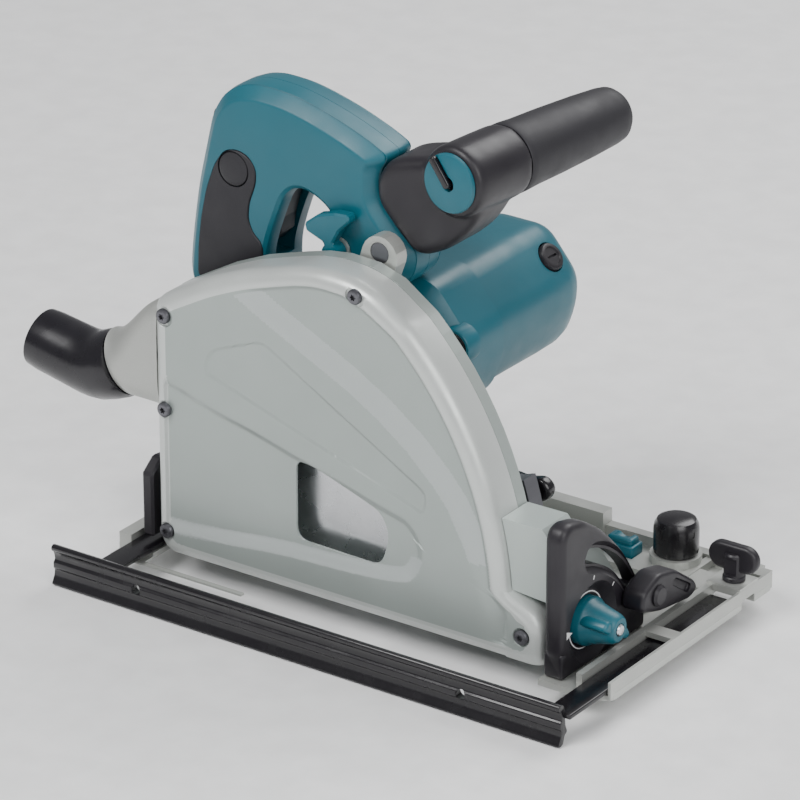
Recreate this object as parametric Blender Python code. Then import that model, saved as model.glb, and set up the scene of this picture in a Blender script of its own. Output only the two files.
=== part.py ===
"""Track plunge saw: cast base, tilting blade case, plunging motor unit, D-handle and guide rule.

Axes: +X is the cutting direction, -Y the blade side, +Z up. The sole lies in z = 0.
Dimensions below are millimetres; every mesh is stored in metres.
"""
import bpy
import bmesh
from math import atan2, cos, hypot, pi, radians, sin
from mathutils import Matrix, Vector

MM = 0.001

# Base casting
BASE_HALF_X = 172.5
BASE_HALF_Y = 90.0
PLATE_T = 4.0
RIM_TOP = 12.0

# Tilt (bevel) axis: along X at the sole under the blade
TILT_Y = -80.0
TILT_Z = 0.0
TILT_MAX = 48.0
SLOT_R = 71.9
SLOT_START = 25.35

# Plunge axis: along Y behind the blade
PIVOT_X = -120.0
PIVOT_Z = 30.0
PLUNGE_MAX = 34.1

# Blade and drive line, parked
SPIN_X = -10.5
SPIN_Z = 100.0
BLADE_R = 82.5
BLADE_BORE_R = 10.0
BLADE_TEETH = 48
MOTOR_X = -15.0
MOTOR_Z = 146.0
BRUSH_Y = 84.0
BRUSH_ANGLE = 40.0
IDLER_X = -19.2
IDLER_Z = 122.4
TEETH_SPINDLE = 33
TEETH_IDLER_SMALL = 15
TEETH_IDLER_LARGE = 32
TEETH_PINION = 14

# Blade case
CASE_PART = -66.0
CASE_FAR = -57.0
CASE_ARC_R = 222.0

# Dust outlet, aimed rearward and down
PORT_X = -177.0
PORT_Y = -73.0
PORT_Z = 114.0
PORT_LEAN = 26.6

# D-handle
HANDLE_NEAR = -45.0
HANDLE_MID = -25.0
HANDLE_FAR = -5.0


def clear_scene():
    """Remove whatever the scene holds."""
    for item in list(bpy.data.objects):
        bpy.data.objects.remove(item, do_unlink=True)


def material(name, colour, roughness, metallic):
    """Principled material with one flat colour."""
    found = bpy.data.materials.get(name)
    if found:
        return found
    made = bpy.data.materials.new(name)
    made.use_nodes = True
    shader = made.node_tree.nodes["Principled BSDF"]
    shader.inputs["Base Color"].default_value = (*colour, 1.0)
    shader.inputs["Roughness"].default_value = roughness
    shader.inputs["Metallic"].default_value = metallic
    return made


def silver():
    return material("cast_aluminium", (0.50, 0.51, 0.48), 0.42, 0.9)


def case_paint():
    return material("case_silver_paint", (0.42, 0.46, 0.44), 0.38, 0.35)


def teal():
    return material("teal_plastic", (0.022, 0.14, 0.20), 0.45, 0.0)


def black():
    return material("black_plastic", (0.030, 0.030, 0.038), 0.5, 0.0)


def rubber():
    return material("black_rubber", (0.022, 0.022, 0.026), 0.8, 0.0)


def steel():
    return material("bright_steel", (0.60, 0.60, 0.61), 0.28, 1.0)


def dark_steel():
    return material("dark_steel", (0.16, 0.16, 0.17), 0.4, 1.0)


def copper():
    return material("copper_windings", (0.62, 0.28, 0.12), 0.4, 1.0)


def put(name, bm, mat):
    """Turn a millimetre bmesh into a named metre object."""
    bmesh.ops.remove_doubles(bm, verts=bm.verts, dist=0.0005)
    bmesh.ops.recalc_face_normals(bm, faces=bm.faces)
    bm.normal_update()
    warped = []
    for face in bm.faces:
        centre = face.calc_center_median()
        if max(abs((v.co - centre).dot(face.normal)) for v in face.verts) > 0.001:
            warped.append(face)
    bmesh.ops.triangulate(bm, faces=warped)
    bmesh.ops.scale(bm, vec=(MM, MM, MM), verts=bm.verts)
    mesh = bpy.data.meshes.new(name)
    bm.to_mesh(mesh)
    bm.free()
    mesh.materials.append(mat)
    made = bpy.data.objects.new(name, mesh)
    bpy.context.scene.collection.objects.link(made)
    return made


def at_axis(axis, a, b, h):
    """3-D point from two in-plane values and the value along the axis."""
    if axis == "X":
        return (h, a, b)
    if axis == "Y":
        return (a, h, b)
    return (a, b, h)


def rings(name, loops, mat, closed=False):
    """Skin equal-length vertex loops; close the ends with flat caps."""
    bm = bmesh.new()
    made = []
    for loop in loops:
        made.append([bm.verts.new(p) for p in loop])
    count = len(loops[0])
    pairs = list(zip(made[:-1], made[1:]))
    if closed:
        pairs.append((made[-1], made[0]))
    for low, high in pairs:
        for i in range(count):
            j = (i + 1) % count
            bm.faces.new((low[i], low[j], high[j], high[i]))
    if not closed:
        bm.faces.new(made[0])
        bm.faces.new(list(reversed(made[-1])))
    return put(name, bm, mat)


def prism(name, axis, outline, low, high, mat):
    """Outline extruded along an axis."""
    loops = []
    for h in (low, high):
        loops.append([at_axis(axis, a, b, h) for a, b in outline])
    return rings(name, loops, mat)


def box(name, low, high, mat):
    outline = [(low[0], low[1]), (high[0], low[1]), (high[0], high[1]), (low[0], high[1])]
    return prism(name, "Z", outline, low[2], high[2], mat)


def lathe(name, axis, centre, profile, mat, segs=32):
    """Profile of (radius, height) turned about an axis; radius 0 closes on the axis."""
    bm = bmesh.new()
    columns = []
    for r, h in profile:
        if r < 1e-6:
            columns.append([bm.verts.new(at_axis(axis, centre[0], centre[1], h))])
            continue
        ring = []
        for i in range(segs):
            t = 2.0 * pi * i / segs
            ring.append(bm.verts.new(at_axis(axis, centre[0] + r * cos(t), centre[1] + r * sin(t), h)))
        columns.append(ring)
    pairs = list(zip(columns[:-1], columns[1:]))
    if profile[0][0] > 1e-6:
        pairs.append((columns[-1], columns[0]))
    for low, high in pairs:
        for i in range(segs):
            j = (i + 1) % segs
            if len(low) == 1 and len(high) == 1:
                continue
            if len(low) == 1:
                bm.faces.new((low[0], high[j], high[i]))
            elif len(high) == 1:
                bm.faces.new((low[i], low[j], high[0]))
            else:
                bm.faces.new((low[i], low[j], high[j], high[i]))
    return put(name, bm, mat)


def rod(name, axis, centre, radius, low, high, mat, segs=24):
    return lathe(name, axis, centre, [(0, low), (radius, low), (radius, high), (0, high)], mat, segs)


def tube(name, axis, centre, outer, inner, low, high, mat, segs=28):
    profile = [(inner, low), (outer, low), (outer, high), (inner, high)]
    return lathe(name, axis, centre, profile, mat, segs)


def evaluate(item):
    """Bake the object's modifiers into its mesh."""
    graph = bpy.context.evaluated_depsgraph_get()
    graph.update()
    baked = bpy.data.meshes.new_from_object(item.evaluated_get(graph))
    old = item.data
    item.modifiers.clear()
    item.data = baked
    bpy.data.meshes.remove(old)


def boolean(item, others, operation):
    for other in others:
        step = item.modifiers.new("shape", "BOOLEAN")
        step.operation = operation
        step.solver = "EXACT"
        step.object = other
        evaluate(item)
        bpy.data.objects.remove(other, do_unlink=True)
    return item


def cut(item, *others):
    return boolean(item, others, "DIFFERENCE")


def fuse(item, *others):
    return boolean(item, others, "UNION")


def soften(item, width, segments=1, angle=50.0):
    """Bevel the sharp edges, width in millimetres."""
    step = item.modifiers.new("edges", "BEVEL")
    step.width = width * MM
    step.segments = segments
    step.limit_method = "ANGLE"
    step.angle_limit = radians(angle)
    step.use_clamp_overlap = True
    evaluate(item)
    return item


def smooth(item, angle=35.0):
    """Shade round faces smooth and keep the real edges sharp."""
    item.data.shade_smooth()
    item.data.set_sharp_from_angle(angle=radians(angle))
    return item


def set_origin(item, point):
    """Move the object's origin onto its joint axis."""
    shift = Vector(point) * MM
    item.data.transform(Matrix.Translation(-shift))
    item.location = shift
    return item


def arc(cx, cy, radius, start, end, steps):
    """Points on an arc, angles in degrees."""
    points = []
    for i in range(steps + 1):
        t = radians(start + (end - start) * i / steps)
        points.append((cx + radius * cos(t), cy + radius * sin(t)))
    return points


def hull(points):
    """Convex hull of 2-D points."""
    ordered = sorted(set((round(a, 5), round(b, 5)) for a, b in points))

    def half(source):
        chain = []
        for p in source:
            while len(chain) > 1:
                (ax, ay), (bx, by) = chain[-2], chain[-1]
                if (bx - ax) * (p[1] - ay) - (by - ay) * (p[0] - ax) > 1e-9:
                    break
                chain.pop()
            chain.append(p)
        return chain[:-1]

    return half(ordered) + half(reversed(ordered))


def disc(cx, cy, radius, steps=24):
    return arc(cx, cy, radius, 0, 360, steps)[:-1]


def offset(outline, distance):
    """Shift an outline along its vertex normals; positive grows a counter-clockwise loop."""
    area = 0.0
    count = len(outline)
    for i in range(count):
        ax, ay = outline[i]
        bx, by = outline[(i + 1) % count]
        area += ax * by - bx * ay
    sign = 1.0 if area > 0 else -1.0
    moved = []
    for i in range(count):
        px, py = outline[i - 1]
        qx, qy = outline[i]
        rx, ry = outline[(i + 1) % count]
        e1 = Vector((qx - px, qy - py)).normalized()
        e2 = Vector((rx - qx, ry - qy)).normalized()
        n1 = Vector((e1.y, -e1.x)) * sign
        n2 = Vector((e2.y, -e2.x)) * sign
        n = n1 + n2
        n /= max(0.35, (1.0 + n1.dot(n2)))
        moved.append((qx + n.x * distance, qy + n.y * distance))
    return moved


def arc_slot(cx, cy, radius, half_width, start, end, steps=12):
    """Closed outline of a curved slot with round ends."""
    outer = arc(cx, cy, radius + half_width, start, end, steps)
    inner = arc(cx, cy, radius - half_width, end, start, steps)
    ex, ey = cx + radius * cos(radians(end)), cy + radius * sin(radians(end))
    sx, sy = cx + radius * cos(radians(start)), cy + radius * sin(radians(start))
    cap_end = arc(ex, ey, half_width, end, end + 180, 6)[1:-1]
    cap_start = arc(sx, sy, half_width, start + 180, start + 360, 6)[1:-1]
    return outer + cap_end + inner + cap_start


def case_outline(inset, bottom):
    """Blade case contour in XZ, shrunk by inset, with its lower edge at the given height."""
    r = CASE_ARC_R - inset
    points = [(-138 + inset, bottom), (126.2 - inset, bottom)]
    points += [(126.2 - inset, 31.0), (115.8 - inset * 0.6, 43.0 - inset)]
    points += arc(PIVOT_X, PIVOT_Z, r, 4.2, 46.5, 13)
    points += [(11 - inset * 0.6, 206.0 - inset), (-6, 211.5 - inset), (-26, 212.5 - inset)]
    points += [(-41 + inset * 0.2, 210.5 - inset), (-56 + inset * 0.3, 206.5 - inset)]
    points += [(-84 + inset * 0.4, 198 - inset), (-107 + inset * 0.4, 188 - inset)]
    points += [(-140 + inset * 0.7, 169.5 - inset * 0.8), (-145 + inset, 165.0 - inset * 0.8)]
    points += [(-145 + inset, 84.0), (-145 + inset, bottom + 6)]
    return points


def cavity_outline(inset, bottom):
    """Inside of the blade case in XZ, without the solid front foot."""
    r = CASE_ARC_R - inset
    points = [(-144 + inset, bottom), (PIVOT_X + r - 0.6, bottom)]
    points += arc(PIVOT_X, PIVOT_Z, r, 1.0, 46.0, 12)
    points += [(9 - inset * 0.6, 205.5 - inset), (-26, 212.0 - inset), (-56 + inset * 0.3, 206.0 - inset)]
    points += [(-107 + inset * 0.5, 187.5 - inset), (-138 + inset, 169.0 - inset)]
    return points


def make_base():
    """Cast plate with blade opening, rail groove, arm channels and raised beams."""
    outline = [(-172.5, -90), (-147.4, -90), (-147.4, -54.5), (127.3, -54.5), (127.3, -95)]
    outline += [(150, -95), (168, -90), (172.5, -86), (172.5, 82), (164, 90), (-164, 90), (-172.5, 82)]
    base = prism("base_plate", "Z", outline, 0, PLATE_T, silver())
    front = box("f", (149.5, -89.9, 1), (172.4, 84, RIM_TOP), silver())
    rear = box("r", (-172.4, -89.9, 1), (-147.5, 84, 11), silver())
    far = box("e", (-150, 83, 1), (164, 89.9, 10.5), silver())
    far_rail = box("g", (5, 80, 1), (58, 89.8, 19), silver())
    rail = box("h", (-150, 46, 1), (152, 68, 8.5), silver())
    rib_a = box("a", (128, -49, 1), (133, 84, 9), silver())
    rib_b = box("b", (-150, -40, 1), (-110, -35, 9), silver())
    rib_c = box("c", (-108, -20, 1), (-104, 50, 8), silver())
    rib_d = box("d", (-20, 12, 1), (-16, 50, 8), silver())
    pad = rod("p", "Z", (115, 70), 15.5, 1, 13.6, silver(), 24)
    strip = box("s", (-171, -101, 0), (-75, -97.8, 1.2), silver())
    strip_foot = box("t", (-171, -98.5, 0), (-147.5, -89.5, 1.2), silver())
    fuse(base, front, rear, far, far_rail, rail, rib_a, rib_b, rib_c, rib_d, pad, strip, strip_foot)
    groove = box("k1", (-180, 50, -1), (180, 64, 5.5), silver())
    front_channel = box("k2", (153.4, -92, 3.6), (170.6, 74, 13), silver())
    rear_channel = box("k3", (-163.6, -92, 3.6), (-146.3, 74, 12), silver())
    cut(base, groove, front_channel, rear_channel)
    bridges = []
    for x0, x1, top in ((149.6, 172.3, RIM_TOP), (-172.3, -147.6, 11)):
        bridges.append(box("m", (x0, 48, 8.6), (x1, 68, top + 1.8), silver()))
        bridges.append(box("n", (x0, -24, 8.6), (x1, -14, top), silver()))
    fuse(base, *bridges)
    holes = [rod("o", "Z", (162, 58), 3.3, 7, 16, silver(), 16)]
    holes.append(rod("o", "Z", (-155, 58), 3.3, 7, 16, silver(), 16))
    holes.append(rod("o", "Z", (115, 70), 5.3, 4.5, 15, silver(), 20))
    holes.append(box("o", (-95, -30, -1), (-30, 40, 6), silver()))
    holes.append(box("o", (71.4, 55.6, 4.6), (93.6, 83.4, 12), silver()))
    cut(base, *holes)
    return base


def quadrant_outline():
    points = [(-92, 12.4), (-92, 90), (-89, 96), (-82.7, 98), (-69, 95), (-51, 83.5), (-39, 72.5)]
    points += [(-30, 63.5), (-18, 48.6), (-9, 34.5), (-4.5, 26), (-4, 12.4)]
    return points


def make_front_quadrant():
    """Upright plate fixed on the base; its curved slot is centred on the tilt axis."""
    body = prism("front_bevel_quadrant", "X", quadrant_outline(), 128, 141, black())
    soften(body, 3.0, 2, 40)
    foot = box("f", (128.2, -91, 4.4), (140.8, -5, 14), black())
    fuse(body, foot)
    ends = (SLOT_START - 1.6, SLOT_START + TILT_MAX + 0.6)
    slot = prism("s", "X", arc_slot(TILT_Y, TILT_Z, SLOT_R, 4.6, *ends), 120, 150, black())
    recess = prism("r", "X", arc_slot(TILT_Y, TILT_Z, SLOT_R, 7.6, *ends), 137.5, 150, black())
    socket = rod("k", "X", (-60, 29), 15.4, 134.5, 150, black(), 28)
    bore = rod("b", "X", (-60, 29), 5.3, 126, 136, black(), 16)
    rib_clear = box("c", (127, -49.3, 3), (133.3, 0, 9.3), black())
    return smooth(cut(body, slot, recess, socket, bore, rib_clear))


def make_rear_quadrant():
    """Smaller rear upright with its own curved slot."""
    points = [(-86, 11.4), (-86, 52)] + arc(TILT_Y, TILT_Z, 60, 86, 20, 10) + [(-22, 11.4)]
    body = prism("rear_bevel_quadrant", "X", points, -158, -150, black())
    soften(body, 1.5, 1, 40)
    slot = arc_slot(TILT_Y, TILT_Z, 50.0, 4.6, SLOT_START - 1.9, SLOT_START + TILT_MAX + 0.9)
    return smooth(cut(body, prism("s", "X", slot, -165, -140, black())))


def make_case():
    """Far half of the blade case with its arc opening, pivot boss and tilt brackets."""
    loops = []
    for y, inset in ((-65.7, 0.0), (CASE_FAR, 0.0)):
        loops.append([(x, y, z) for x, z in case_outline(inset, 3.0)])
    body = rings("blade_case", loops, case_paint())
    inner = [(x, -80, z) for x, z in cavity_outline(3.0, -5.0)]
    low = [(x, -60.0, z) for x, z in cavity_outline(3.0, -5.0)]
    hollow = rings("h", [inner, low], case_paint())
    bracket_points = [(-60, 8.5), (-60, 86), (-48, 78), (-36, 66), (-24, 51), (-12, 34), (-6, 22), (-6, 8.5)]
    front_bracket = prism("b", "X", bracket_points, 112.5, 126.2, silver())
    rear_points = [(-60, 12.6), (-60, 62), (-45, 58), (-28, 42), (-22, 22), (-22, 12.6)]
    rear_bracket = prism("q", "X", rear_points, -149.2, -139, silver())
    boss = rod("p", "Y", (PIVOT_X, PIVOT_Z), 13, -60, -56.2, silver(), 24)
    nose_points = arc(PIVOT_X, PIVOT_Z, CASE_ARC_R + 0.4, 4.5, 15.6, 4) + [(121, 90), (126.2, 84), (126.2, 45.5)]
    nose = prism("e", "Y", nose_points, -83, -57, silver())
    cut(body, hollow)
    fuse(body, front_bracket, rear_bracket, boss, nose)
    swing = arc_slot(PIVOT_X, PIVOT_Z, 130.0, 16.0, -3.0, 36.0, 12)
    opening = prism("o", "Y", swing, -62, -50, silver())
    bolt = rod("k", "X", (-15.0, 30.8), 4.0, 105, 130, silver(), 16)
    rear_y = TILT_Y + 50 * cos(radians(SLOT_START))
    rear_z = 50 * sin(radians(SLOT_START))
    rear_bolt = rod("l", "X", (rear_y, rear_z), 4.0, -155, -130, silver(), 16)
    shaft = rod("n", "Y", (PIVOT_X, PIVOT_Z), 6.3, -64, -50, silver(), 20)
    cut(body, opening, bolt, rear_bolt, shaft, port_bore())
    for x, z in COVER_SCREWS:
        cut(body, rod("w", "Y", (x, z), 2.6, -68, -50, silver(), 10))
    return smooth(body)


COVER_SCREWS = ((-1.3, 203.0), (-136.5, 158.0), (-137.0, 99.0), (-137.0, 21.0), (112.5, 23.3))


def make_cover():
    """Near half of the blade case: thin shell with a viewing window and embossed ribs."""
    steps = ((CASE_PART, 0.0, 3.0), (-83.0, 0.0, 4.2), (-87.0, 1.6, 8.4), (-89.2, 4.4, 11.2), (-90.0, 8.0, 12.4))
    loops = []
    for y, inset, bottom in steps:
        loops.append([(x, y, z) for x, z in case_outline(inset, bottom)])
    body = rings("blade_cover", loops, case_paint())
    inner = ((-60.0, 3.0, 1.0), (-81.5, 3.0, 1.5), (-85.2, 4.8, 3.5), (-87.2, 9.0, 8.2))
    loops = []
    for y, inset, bottom in inner:
        loops.append([(x, y, z) for x, z in cavity_outline(inset, bottom - 9.0)])
    hollow = rings("h", loops, case_paint())
    cut(body, hollow)
    window = [(-40.5, 46), (-30, 42.5), (9.5, 40), (18, 49), (15.5, 83), (-18, 90.5), (-40.5, 89)]
    frame = prism("f", "Y", offset(window, 4.0), -91.2, -86.8, case_paint())
    rib_a = prism("a", "Y", [(-118, 22), (60, 22), (62, 23.5), (60, 25), (-118, 25), (-120, 23.5)], -90.8, -89, case_paint())
    rib_b = prism("b", "Y", [(-118, 14.5), (60, 14.5), (62, 16), (60, 17.5), (-118, 17.5), (-120, 16)], -90.8, -88.8, case_paint())
    panel = [(-107, 133), (-98, 145), (-66, 158), (44, 91), (47, 86), (43, 80), (-39, 111), (-106, 126)]
    plate = prism("p", "Y", panel, -90.9, -89, case_paint())
    fuse(body, frame, rib_a, rib_b, plate)
    cut(body, prism("w", "Y", window, -95, -80, case_paint()))
    for x, z in COVER_SCREWS:
        profile = [(0, -95), (5.0, -95), (5.0, -88.4), (2.6, -88.4), (2.6, -60), (0, -60)]
        cut(body, lathe("c", "Y", (x, z), profile, case_paint(), 12))
    cut(body, port_bore())
    return smooth(body)


def make_cover_screws():
    made = []
    for index, (x, z) in enumerate(COVER_SCREWS):
        profile = [(0, -91.0), (2.4, -91.0), (2.8, -92.2), (4.6, -92.2), (4.6, -88.9), (2.3, -88.9)]
        profile += [(2.3, -59.0), (0, -59.0)]
        made.append(smooth(lathe("cover_screw_%d" % (index + 1), "Y", (x, z), profile, dark_steel(), 10)))
    return made


def port_matrix():
    """Local Z along the dust outlet's axis, outward."""
    turn = Matrix.Rotation(radians(-90.0 - PORT_LEAN), 4, "Y")
    return Matrix.Translation(Vector((PORT_X, PORT_Y, PORT_Z)) * MM) @ turn


def port_bore():
    bore = rod("bore", "Z", (0, 0), 12.0, -46, 20, silver(), 20)
    bore.data.transform(port_matrix())
    return bore


def make_dust_port():
    """Silver outlet blending from the case's rear wall to a round, slanted end with a spigot."""
    lean = radians(PORT_LEAN)
    loops = []
    for step in range(6):
        t = step / 5.0
        blend = t * t * (3 - 2 * t)
        ring = []
        for i in range(28):
            a = 2 * pi * i / 28
            c, s = cos(a), sin(a)
            wall_y = PORT_Y + 12.4 * (abs(c) ** 0.45) * (1 if c >= 0 else -1)
            wall_z = 129.0 + 33.0 * (abs(s) ** 0.45) * (1 if s >= 0 else -1)
            end_x = PORT_X - 21.0 * s * sin(lean)
            end_y = PORT_Y + 17.4 * c
            end_z = PORT_Z + 21.0 * s * cos(lean)
            x = -145.35 + (end_x + 145.35) * t
            ring.append((x, wall_y + (end_y - wall_y) * blend, wall_z + (end_z - wall_z) * blend))
        loops.append(ring)
    body = rings("dust_port", loops, silver())
    spigot = rod("s", "Z", (0, 0), 15.0, -8, 11, silver(), 28)
    spigot.data.transform(port_matrix())
    fuse(body, spigot)
    return smooth(cut(body, port_bore()))


def make_dust_nozzle():
    """Black swivelling elbow on the outlet spigot."""
    path = ((-177.6, 113.7, -26.6), (-184.5, 110.2, -24), (-193, 107.4, -13), (-203, 106.9, 2), (-214, 108.6, 10))
    path += ((-226, 110.8, 10), (-240, 113.4, 10))
    outer = (20.6, 20.8, 20.6, 19.8, 19.0, 18.6, 18.6)
    inner = (15.4, 15.4, 17.0, 17.0, 16.6, 16.4, 16.4)
    loops = []
    for radii in (outer, inner):
        part = []
        for (x, z, climb), r in zip(path, radii):
            up = (sin(radians(climb)), cos(radians(climb)))
            ring = []
            for i in range(28):
                a = 2 * pi * i / 28
                ring.append((x + r * sin(a) * up[0], PORT_Y + r * cos(a), z + r * sin(a) * up[1]))
            part.append(ring)
        loops.append(part)
    body = rings("dust_nozzle", loops[0] + list(reversed(loops[1])), rubber(), closed=True)
    return set_origin(smooth(body, 45), (PORT_X, PORT_Y, PORT_Z))


def gear_outline(cx, cz, teeth, phase, module=1.0):
    """Trapezoid-tooth spur gear outline in XZ with running backlash."""
    pitch = teeth * module / 2.0
    points = []
    step = 2 * pi / teeth
    for i in range(teeth):
        a = phase + i * step
        for share, r in ((-0.36, pitch - 1.15), (-0.13, pitch + 0.72), (0.13, pitch + 0.72), (0.36, pitch - 1.15)):
            t = a + share * step
            points.append((cx + r * cos(t), cz + r * sin(t)))
    return points


def make_saw_blade():
    """Toothed disc with a round bore."""
    points = []
    step = 2 * pi / BLADE_TEETH
    for i in range(BLADE_TEETH):
        a = i * step
        for share, r in ((0.0, BLADE_R), (0.1, BLADE_R - 6.5), (0.45, BLADE_R - 6.0), (0.72, BLADE_R - 1.6)):
            t = a + share * step
            points.append((SPIN_X + r * cos(t), SPIN_Z + r * sin(t)))
    body = prism("saw_blade", "Y", points, -76.8, -75.2, steel())
    return smooth(cut(body, rod("b", "Y", (SPIN_X, SPIN_Z), BLADE_BORE_R, -80, -70, steel(), 24)))


def make_spindle_group():
    """Spindle, flanges, blade bolt and its gear."""
    c = (SPIN_X, SPIN_Z)
    profile = [(0, -67), (4.3, -67), (4.3, -76.9), (6, -76.9), (6, -70.6), (9, -70.6), (9, -56.9), (8, -56.9)]
    profile += [(8, -49), (6, -49), (6, -39.2), (0, -39.2)]
    smooth(lathe("spindle", "Y", c, profile, dark_steel(), 24))
    profile = [(6.3, -76.5), (9.7, -76.5), (9.7, -75.0), (17, -75.0), (17, -70.9), (6.3, -70.9)]
    smooth(lathe("inner_flange", "Y", c, profile, dark_steel(), 28))
    profile = [(4.4, -81.1), (12, -81.1), (17, -78.6), (17, -77.1), (4.4, -77.1)]
    smooth(lathe("outer_flange", "Y", c, profile, dark_steel(), 28))
    hexagon = [(SPIN_X + 7.5 * cos(radians(60 * i)), SPIN_Z + 7.5 * sin(radians(60 * i))) for i in range(6)]
    bolt = prism("blade_bolt", "Y", hexagon, -86.2, -81.4, dark_steel())
    fuse(bolt, rod("s", "Y", c, 4.0, -82, -68, dark_steel(), 20))
    socket = [(SPIN_X + 2.9 * cos(radians(60 * i)), SPIN_Z + 2.9 * sin(radians(60 * i))) for i in range(6)]
    cut(bolt, prism("k", "Y", socket, -90, -83.5, dark_steel()))
    gear = prism("spindle_gear", "Y", gear_outline(*c, TEETH_SPINDLE, 0.0), -48.5, -41.5, dark_steel())
    smooth(cut(gear, rod("b", "Y", c, 6.3, -50, -40, dark_steel(), 20)))


def mesh_phase(cx, cz, teeth, other_x, other_z, other_teeth, other_phase):
    """Phase that puts a tooth gap of this gear on the other gear's tooth along the centre line."""
    line = atan2(cz - other_z, cx - other_x)
    turns = (line - other_phase) * other_teeth / (2 * pi)
    return line + pi + (turns - 0.5) * 2 * pi / teeth


def make_drive():
    """Intermediate gear and armature with its pinion, core, commutator and fan."""
    small_phase = mesh_phase(IDLER_X, IDLER_Z, TEETH_IDLER_SMALL, SPIN_X, SPIN_Z, TEETH_SPINDLE, 0.0)
    c = (IDLER_X, IDLER_Z)
    idler = prism("intermediate_gear", "Y", gear_outline(*c, TEETH_IDLER_LARGE, 0.0), -38.3, -32, dark_steel())
    small = prism("s", "Y", gear_outline(*c, TEETH_IDLER_SMALL, small_phase), -48.3, -38.0, dark_steel())
    fuse(idler, small, rod("a", "Y", c, 3.6, -52.4, -29.0, dark_steel(), 16))
    phase = mesh_phase(MOTOR_X, MOTOR_Z, TEETH_PINION, IDLER_X, IDLER_Z, TEETH_IDLER_LARGE, 0.0)
    m = (MOTOR_X, MOTOR_Z)
    profile = [(0, -38.6), (5.0, -38.6), (5.0, 96), (4.0, 96), (4.0, 106), (0, 106)]
    shaft = lathe("armature_shaft", "Y", m, profile, dark_steel(), 16)
    fuse(shaft, prism("p", "Y", gear_outline(*m, TEETH_PINION, phase), -38.4, -32, dark_steel()))
    smooth(tube("motor_fan", "Y", m, 29, 5.3, -10, -7, black(), 24))
    profile = [(5.3, 4), (19, 4), (19, 60), (5.3, 60)]
    smooth(lathe("armature_core", "Y", m, profile, copper(), 24))
    smooth(tube("commutator", "Y", m, 11, 5.3, 77, 91, copper(), 24))
    smooth(tube("field_stator", "Y", m, 32.0, 20.5, 6, 58, dark_steel(), 28))


def housing_outline(grow):
    points = disc(SPIN_X, SPIN_Z, 20.0 + grow, 20) + disc(IDLER_X, IDLER_Z, 20.0 + grow, 20)
    points += disc(MOTOR_X, MOTOR_Z, 33.0 + grow, 24)
    return hull(points)


def make_gear_housing():
    """Aluminium gear case: pivot arm, gear cup open on the motor side and a top screw boss."""
    body = prism("gear_housing", "Y", housing_outline(0.0), -56, -29.2, silver())
    arm = prism("a", "Y", hull(disc(PIVOT_X, PIVOT_Z, 13, 20) + disc(-38, 112, 17, 16)), -54, -36, silver())
    top = prism("t", "Y", hull(disc(-8.5, 214, 12.0, 20) + [(-36, 168), (-12, 168)]), -55.2, -45.4, silver())
    lug = prism("l", "Y", hull(disc(-43, 207, 7.5, 16) + [(-52, 172), (-30, 172)]), -46.7, -45.4, silver())
    peg = rod("p", "Y", (-43, 207), 2.1, -54.4, -46.0, silver(), 12)
    fuse(body, arm, top, lug, peg)
    cup = prism("c", "Y", housing_outline(-2.4), -52.8, -20, silver())
    hub = rod("h", "Y", (SPIN_X, SPIN_Z), 14.0, -60, -49.6, silver(), 24)
    shaft = rod("s", "Y", (PIVOT_X, PIVOT_Z), 6.6, -60, -30, silver(), 24)
    screw = rod("k", "Y", (-8.5, 216), 3.4, -60, -44, silver(), 12)
    sink = rod("l", "Y", (-8.5, 216), 6.4, -60, -53.0, silver(), 16)
    return smooth(cut(body, cup, hub, shaft, screw, sink))


def make_bearings():
    smooth(tube("spindle_bearing", "Y", (SPIN_X, SPIN_Z), 13.7, 8.3, -55.6, -50.2, steel(), 24))
    smooth(tube("motor_front_bearing", "Y", (MOTOR_X, MOTOR_Z), 12.7, 5.3, -26.5, -20.5, steel(), 24))


def make_motor_housing():
    """Teal motor can with a bearing shield in front, a closed rear cap and cooling slots."""
    m = (MOTOR_X, MOTOR_Z)
    profile = [(13.0, -28.4), (33, -28.4), (40, -26), (42, -18), (42, 14), (41.5, 16), (42, 60), (42, 90)]
    profile += [(39.5, 100), (36, 107), (29, 110), (0, 110), (0, 107), (7, 107), (7, 97.4)]
    profile += [(30, 97.4), (33.5, 90), (33.5, -17.4), (13.0, -17.4)]
    body = lathe("motor_housing", "Y", m, profile, teal(), 36)
    for side in (-1, 1):
        hole = rod("b", "X", (BRUSH_Y, MOTOR_Z), 8.3, MOTOR_X + side * 18, MOTOR_X + side * 60, teal(), 20)
        cut(body, turn_brush(hole))
    for k in range(4):
        slot = box("v", (-60, 78, 137 + 10 * k), (-30, 92, 142 + 10 * k), teal())
        cut(body, slot)
    return smooth(body, 30)


def turn_brush(item):
    """Swing a part laid out along X round the motor axis to the brush line."""
    centre = Vector((MOTOR_X, 0, MOTOR_Z)) * MM
    turn = Matrix.Rotation(radians(-BRUSH_ANGLE), 4, "Y")
    item.data.transform(Matrix.Translation(centre) @ turn @ Matrix.Translation(-centre))
    return item


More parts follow.
